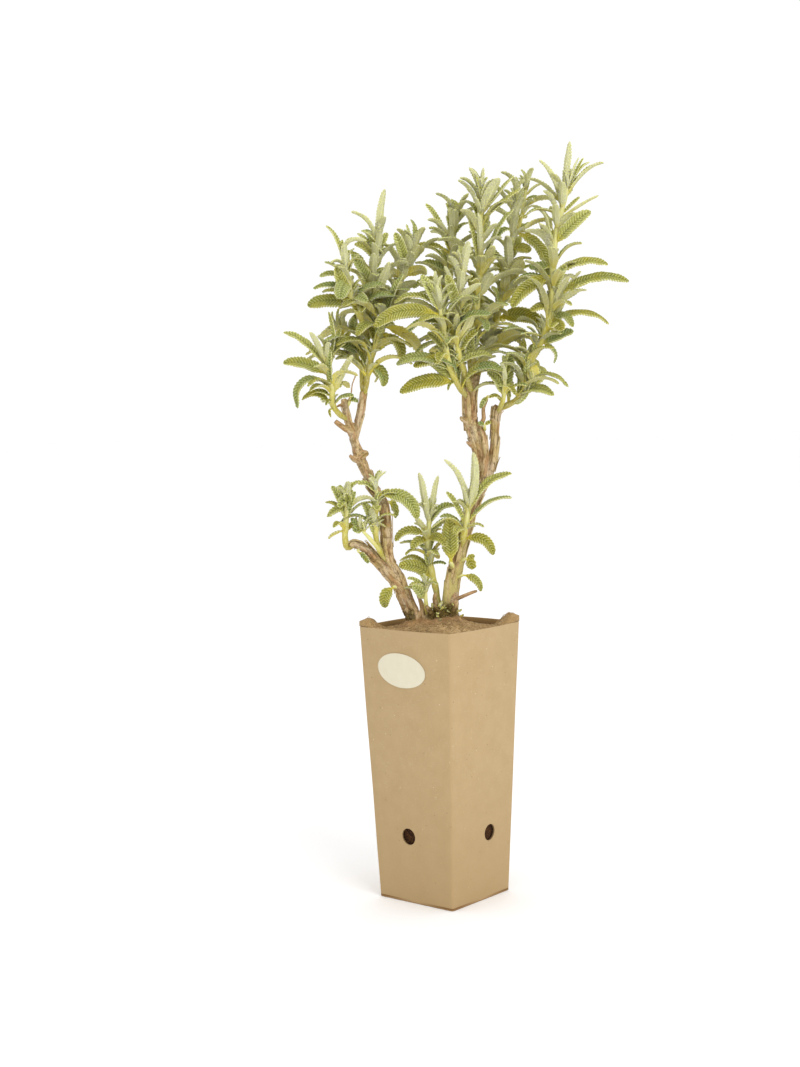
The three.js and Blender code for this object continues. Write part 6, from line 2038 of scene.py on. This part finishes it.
@dataclass(frozen=True)
class KraftCard:
    """Recycled kraft board, pressed and folded: matt buff with faint pulp clouds, fibres and rare flecks."""

    buff: str = "#B49A72"
    cloud: str = "#AC9269"
    fibre: str = "#C2AD88"
    fleck: str = "#7A6040"
    light_fleck: str = "#E6D6B4"
    # Painted shade of the lower walls, darkest at the bottom
    painted_low_shade: str = "#A4885E"
    foot: str = "#6E4A1E"
    # Painted shade inside the pot: a darker tone over the whole inner face, and a darker one from the rim
    # down
    raw: str = "#937648"
    painted_rim_shade: str = "#4E3A20"
    pulp_mm: float = 14.0
    # Real paper fibres are some 0.03 mm thick and would not show, so they are drawn coarser
    fibre_mm: float = 0.9
    fleck_mm: float = 7.0
    # Height at which the painted shade of the lower walls begins
    painted_shade_top: float = 110.0
    rim_height: float = 215.0

    def build(self) -> Material:
        """Builds the material from the pot's card field: off a fold, height, and how far inside.

        Returns:
            The material.
        """
        g = Graph("kraft_card_folded")
        fold, height, inside = g.field("card")
        pulp = g.add("TexNoise", {"Vector": g.place, "Scale": cell(self.pulp_mm), "Detail": 4.0})
        upright, level = (
            g.add("TexNoise", {"Vector": g.add("Mapping", {"Vector": g.place, "Scale": scale}),
                               "Scale": cell(self.fibre_mm), "Detail": 3.0})
            for scale in ((1.0, 1.0, 0.22), (0.25, 0.25, 1.0))
        )
        fibres = g.add("Math", {0: upright, 1: level}, operation="MAXIMUM")
        color = g.coated(self.buff, (pulp, 0.35, 0.68, 0.6, self.cloud),
                         (fibres, 0.58, 0.75, 0.35, self.fibre))
        flecks = ((self.fleck, 0.0, 0.07, 0.75), (self.light_fleck, 0.31, 0.06, 0.6))
        for shade, offset, size, most in flecks:
            moved = g.add("Mapping", {"Vector": g.place, "Location": (offset, offset, offset),
                                      "Scale": (1.0, 1.0, 0.8)})
            spots = g.add("TexVoronoi", {"Vector": moved, "Scale": cell(self.fleck_mm)})
            color = g.coated(color, (spots, size, size * 0.6, most, shade))
        # Painted shade darkens the lower walls towards the bottom, where less light reaches, and the base's
        # flaps fold back under the foot in a dark line
        line = g.add("Math", {0: height, 1: 1.6, 2: 0.6}, operation="COMPARE")
        near = g.add("MapRange", {0: fold, 1: 34.0, 2: 8.0})
        color = g.coated(
            color,
            (fold, 2.4, 0.9, 0.42, self.cloud),
            (height, self.painted_shade_top, 0.0, 0.6, self.painted_low_shade),
            (height, 1.2, 0.7, 0.5, self.foot),
            (line, 0.0, 1.0, 0.85, self.foot, near),
            # Painted shade inside the pot, deepening from the rim down
            (inside, 0.0, 1.0, 0.9, self.raw),
            (height, self.rim_height, self.rim_height - 7, 0.85, self.painted_rim_shade, inside),
        )
        relief = g.add("Math", {0: fibres, 1: 0.5, 2: pulp}, operation="MULTIPLY_ADD")
        return g.dressed(color, relief, 0.35, 0.15, roughness=0.84, ior=1.5, specular_ior_level=0.35)


@dataclass(frozen=True)
class LabelPaper:
    """Uncoated cream label paper, die-cut: matt and even, with faint pulp clouds and a worn edge."""

    cream: str = "#DCD6C0"
    shade: str = "#D2CAB0"
    worn: str = "#C9BD9C"
    pulp_mm: float = 6.0
    # The tooth of real paper is about 0.1 mm and would not show, so it is drawn coarser
    tooth_mm: float = 0.6

    def build(self) -> Material:
        """Builds the material from the label's paper field.

        Returns:
            The material.
        """
        g = Graph("label_paper_die_cut")
        pulp = g.add("TexNoise", {"Vector": g.place, "Scale": cell(self.pulp_mm), "Detail": 3.0})
        tooth = g.add("TexNoise", {"Vector": g.place, "Scale": cell(self.tooth_mm), "Detail": 2.0})
        color = g.coated(self.cream, (pulp, 0.0, 1.0, 1.0, self.shade),
                         (g.field("paper")[0], 0.97, 1.0, 0.6, self.worn))
        return g.dressed(color, tooth, 0.2, 0.05, roughness=0.7, ior=1.5, specular_ior_level=0.35)


@dataclass(frozen=True)
class FibreFelt:
    """Plant fibre felt, needled: dry and sandy with tangled light and dark strands, reddish by the wood."""

    sand: str = "#B89868"
    dark: str = "#8E7046"
    light: str = "#CFB68B"
    russet: str = "#A8754A"
    speck: str = "#54401E"
    chaff: str = "#E6D4AC"
    cloud_mm: float = 9.0
    speck_mm: float = 3.0
    # Real strands are about 0.2 mm thick and would not show, so they are drawn coarser
    strand_mm: float = 0.7

    def build(self) -> Material:
        """Builds the material from the mat's felt field.

        Returns:
            The material.
        """
        g = Graph("fibre_felt_needled")
        by_wood, _, heaped = g.field("felt")
        tangle = 0.0
        for angle in (0.3, 1.4, 2.5):
            turned = g.add("Mapping", {"Vector": g.place, "Rotation": (0.0, 0.0, angle),
                                       "Scale": (1.0, 0.18, 1.0)})
            strands = g.add("TexNoise", {"Vector": turned, "Scale": cell(self.strand_mm), "Detail": 2.0,
                                         "Distortion": 0.6})
            tangle = g.add("Math", {0: tangle, 1: strands}, operation="MAXIMUM")
        clouds = g.add("TexNoise", {"Vector": g.place, "Scale": cell(self.cloud_mm), "Detail": 3.0})
        color = g.coated(self.sand, (tangle, 0.55, 0.78, 1.0, self.light),
                         (tangle, 0.56, 0.44, 0.75, self.dark), (clouds, 0.45, 0.7, 0.55, self.dark))
        for shade, offset, size in ((self.speck, 0.0, 0.2), (self.chaff, 0.37, 0.16)):
            moved = g.add("Mapping", {"Vector": g.place, "Location": (offset, 0.0, 0.0)})
            spots = g.add("TexVoronoi", {"Vector": moved, "Scale": cell(self.speck_mm)})
            color = g.coated(color, (spots, size, size * 0.7, 0.8, shade))
        color = g.coated(color, (heaped, 0.0, 1.0, 0.5, self.dark), (by_wood, 0.0, 1.0, 0.35, self.russet))
        return g.dressed(color, tangle, 0.8, 0.5, roughness=0.92, ior=1.45, specular_ior_level=0.2,
                         sheen_weight=0.2, sheen_roughness=0.5, sheen_tint="#EBD9B8")


@dataclass(frozen=True)
class Compost:
    """Moist peat compost, pressed by the roots: near black crumbs with a few brown fibres."""

    crumb: str = "#2E1A0E"
    fibre: str = "#64421C"
    crumb_mm: float = 2.2
    fibre_mm: float = 1.4

    def build(self) -> Material:
        """Builds the material.

        Returns:
            The material.
        """
        g = Graph("compost_pressed")
        crumbs = g.add("TexVoronoi", {"Vector": g.place, "Scale": cell(self.crumb_mm)})
        fibres = g.add("TexNoise", {"Vector": g.place, "Scale": cell(self.fibre_mm), "Detail": 4.0,
                                    "Distortion": 1.5})
        color = g.coated(self.crumb, (fibres, 0.52, 0.64, 1.0, self.fibre))
        return g.dressed(color, crumbs, 0.8, 1.0, roughness=0.95, ior=1.4, specular_ior_level=0.25)


@dataclass(frozen=True)
class StudioBoard:
    """Matt painted board, all but white: it shows the pot's soft shadow and nothing of its own."""

    white: str = "#FDFDFD"
    mottled: str = "#FBFBFB"
    mottle_mm: float = 400.0

    def build(self) -> Material:
        """Builds the material.

        Returns:
            The material.
        """
        g = Graph("studio_board_painted")
        mottle = g.add("TexNoise", {"Vector": g.place, "Scale": cell(self.mottle_mm)})
        color = g.coated(self.white, (mottle, 0.0, 1.0, 1.0, self.mottled))
        return g.dressed(color, mottle, 0.05, 0.2, roughness=0.9, ior=1.5, specular_ior_level=0.2)


@dataclass
class Studio:
    """A plain pale floor, even soft light and the camera at the photograph's angle."""

    camera_place: tuple = (817.02, -1022.99, 382.36)
    azimuth: float = math.radians(39.91)
    pitch: float = math.radians(4.18)
    roll: float = math.radians(-1.22)
    lens: float = 56.66
    sensor: float = 36.0
    nearest: float = 0.05
    farthest: float = 30.0
    floor_size: float = 40.0
    floor_cells: int = 12
    world_strength: float = 1.03
    lit_height: float = 0.33
    softboxes: tuple = (
        ("key_softbox", (2.0, -0.8, 1.4), 1.2, 20.0),
        ("fill_softbox", (-1.2, -1.8, 1.1), 1.8, 0.5),
        ("rim_softbox", (-0.9, 1.7, 1.8), 1.5, 3.0),
    )

    def build(self) -> None:
        """Builds the camera, the floor, the sky and the lights."""
        bpy.context.scene.view_settings.view_transform = "Standard"
        self.build_camera()
        self.build_floor()
        self.build_sky()
        target = Vector((0.0, 0.0, self.lit_height))
        for name, spot, size, watts in self.softboxes:
            light = bpy.data.lights.new(name, "AREA")
            light.energy = watts
            light.size = size
            lamp = bpy.data.objects.new(name, light)
            lamp.location = spot
            lamp.rotation_euler = (target - Vector(spot)).to_track_quat("-Z", "Y").to_euler()
            bpy.context.scene.collection.objects.link(lamp)
        log.info("studio: camera, floor, sky and three soft lights")

    def build_camera(self) -> None:
        """Builds the camera from its measured place, directions and roll."""
        a, p, r = self.azimuth, self.pitch, self.roll
        forward = Vector((-math.sin(a) * math.cos(p), math.cos(a) * math.cos(p), -math.sin(p)))
        level = Vector((math.cos(a), math.sin(a), 0.0))
        upright = level.cross(forward)
        right = level * math.cos(r) + upright * math.sin(r)
        up = upright * math.cos(r) - level * math.sin(r)
        data = bpy.data.cameras.new("camera")
        data.sensor_fit = "VERTICAL"
        data.sensor_height = self.sensor
        data.sensor_width = self.sensor
        data.lens = self.lens
        data.clip_start = self.nearest
        data.clip_end = self.farthest
        camera = bpy.data.objects.new("camera", data)
        axes = Matrix((right, up, -forward)).transposed().to_4x4()
        camera.matrix_world = Matrix.Translation(Vector(self.camera_place) * MM) @ axes
        bpy.context.scene.collection.objects.link(camera)
        bpy.context.scene.camera = camera

    def build_floor(self) -> None:
        count = self.floor_cells + 1
        share = np.linspace(-self.floor_size / 2, self.floor_size / 2, count)
        x, y = np.meshgrid(share, share, indexing="ij")
        points = np.column_stack([x.ravel(), y.ravel(), np.zeros(x.size)])
        cells = [i * count + j for i in range(self.floor_cells) for j in range(self.floor_cells)]
        mesh = bpy.data.meshes.new("studio_floor")
        mesh.from_pydata(points.tolist(), [], [[k, k + count, k + count + 1, k + 1] for k in cells])
        mesh.materials.append(StudioBoard().build())
        floor = bpy.data.objects.new("studio_floor", mesh)
        bpy.context.scene.collection.objects.link(floor)

    def build_sky(self) -> None:
        """Builds the even white surround."""
        world = bpy.data.worlds.new("studio_sky")
        bpy.context.scene.world = world
        world.use_nodes = True
        background = world.node_tree.nodes["Background"]
        background.inputs["Color"].default_value = (1.0, 1.0, 1.0, 1.0)
        background.inputs["Strength"].default_value = self.world_strength


def main() -> None:
    """Builds the scene and writes how large it came out."""
    logging.basicConfig(level=logging.INFO, format="%(name)s: %(message)s")
    Studio().build()
    leaf, stem, bark = FeltedLeaf().build(), WoollyStem().build(), Bark().build()
    pot = CardPot()
    pot.build(KraftCard().build())
    Label(pot).build(LabelPaper().build())
    wood = Wood()
    wood_piece = wood.build(bark)
    mat = FibreMat(pot, wood)
    RootBall(pot, mat).build(Compost().build())
    mat.build(FibreFelt().build())
    StoolGrowth(wood_piece).build(Moss().build(), leaf, stem)
    for shoot in SHOOTS:
        Foliage(shoot).build(leaf, stem)


if __name__ == "__main__":
    main()
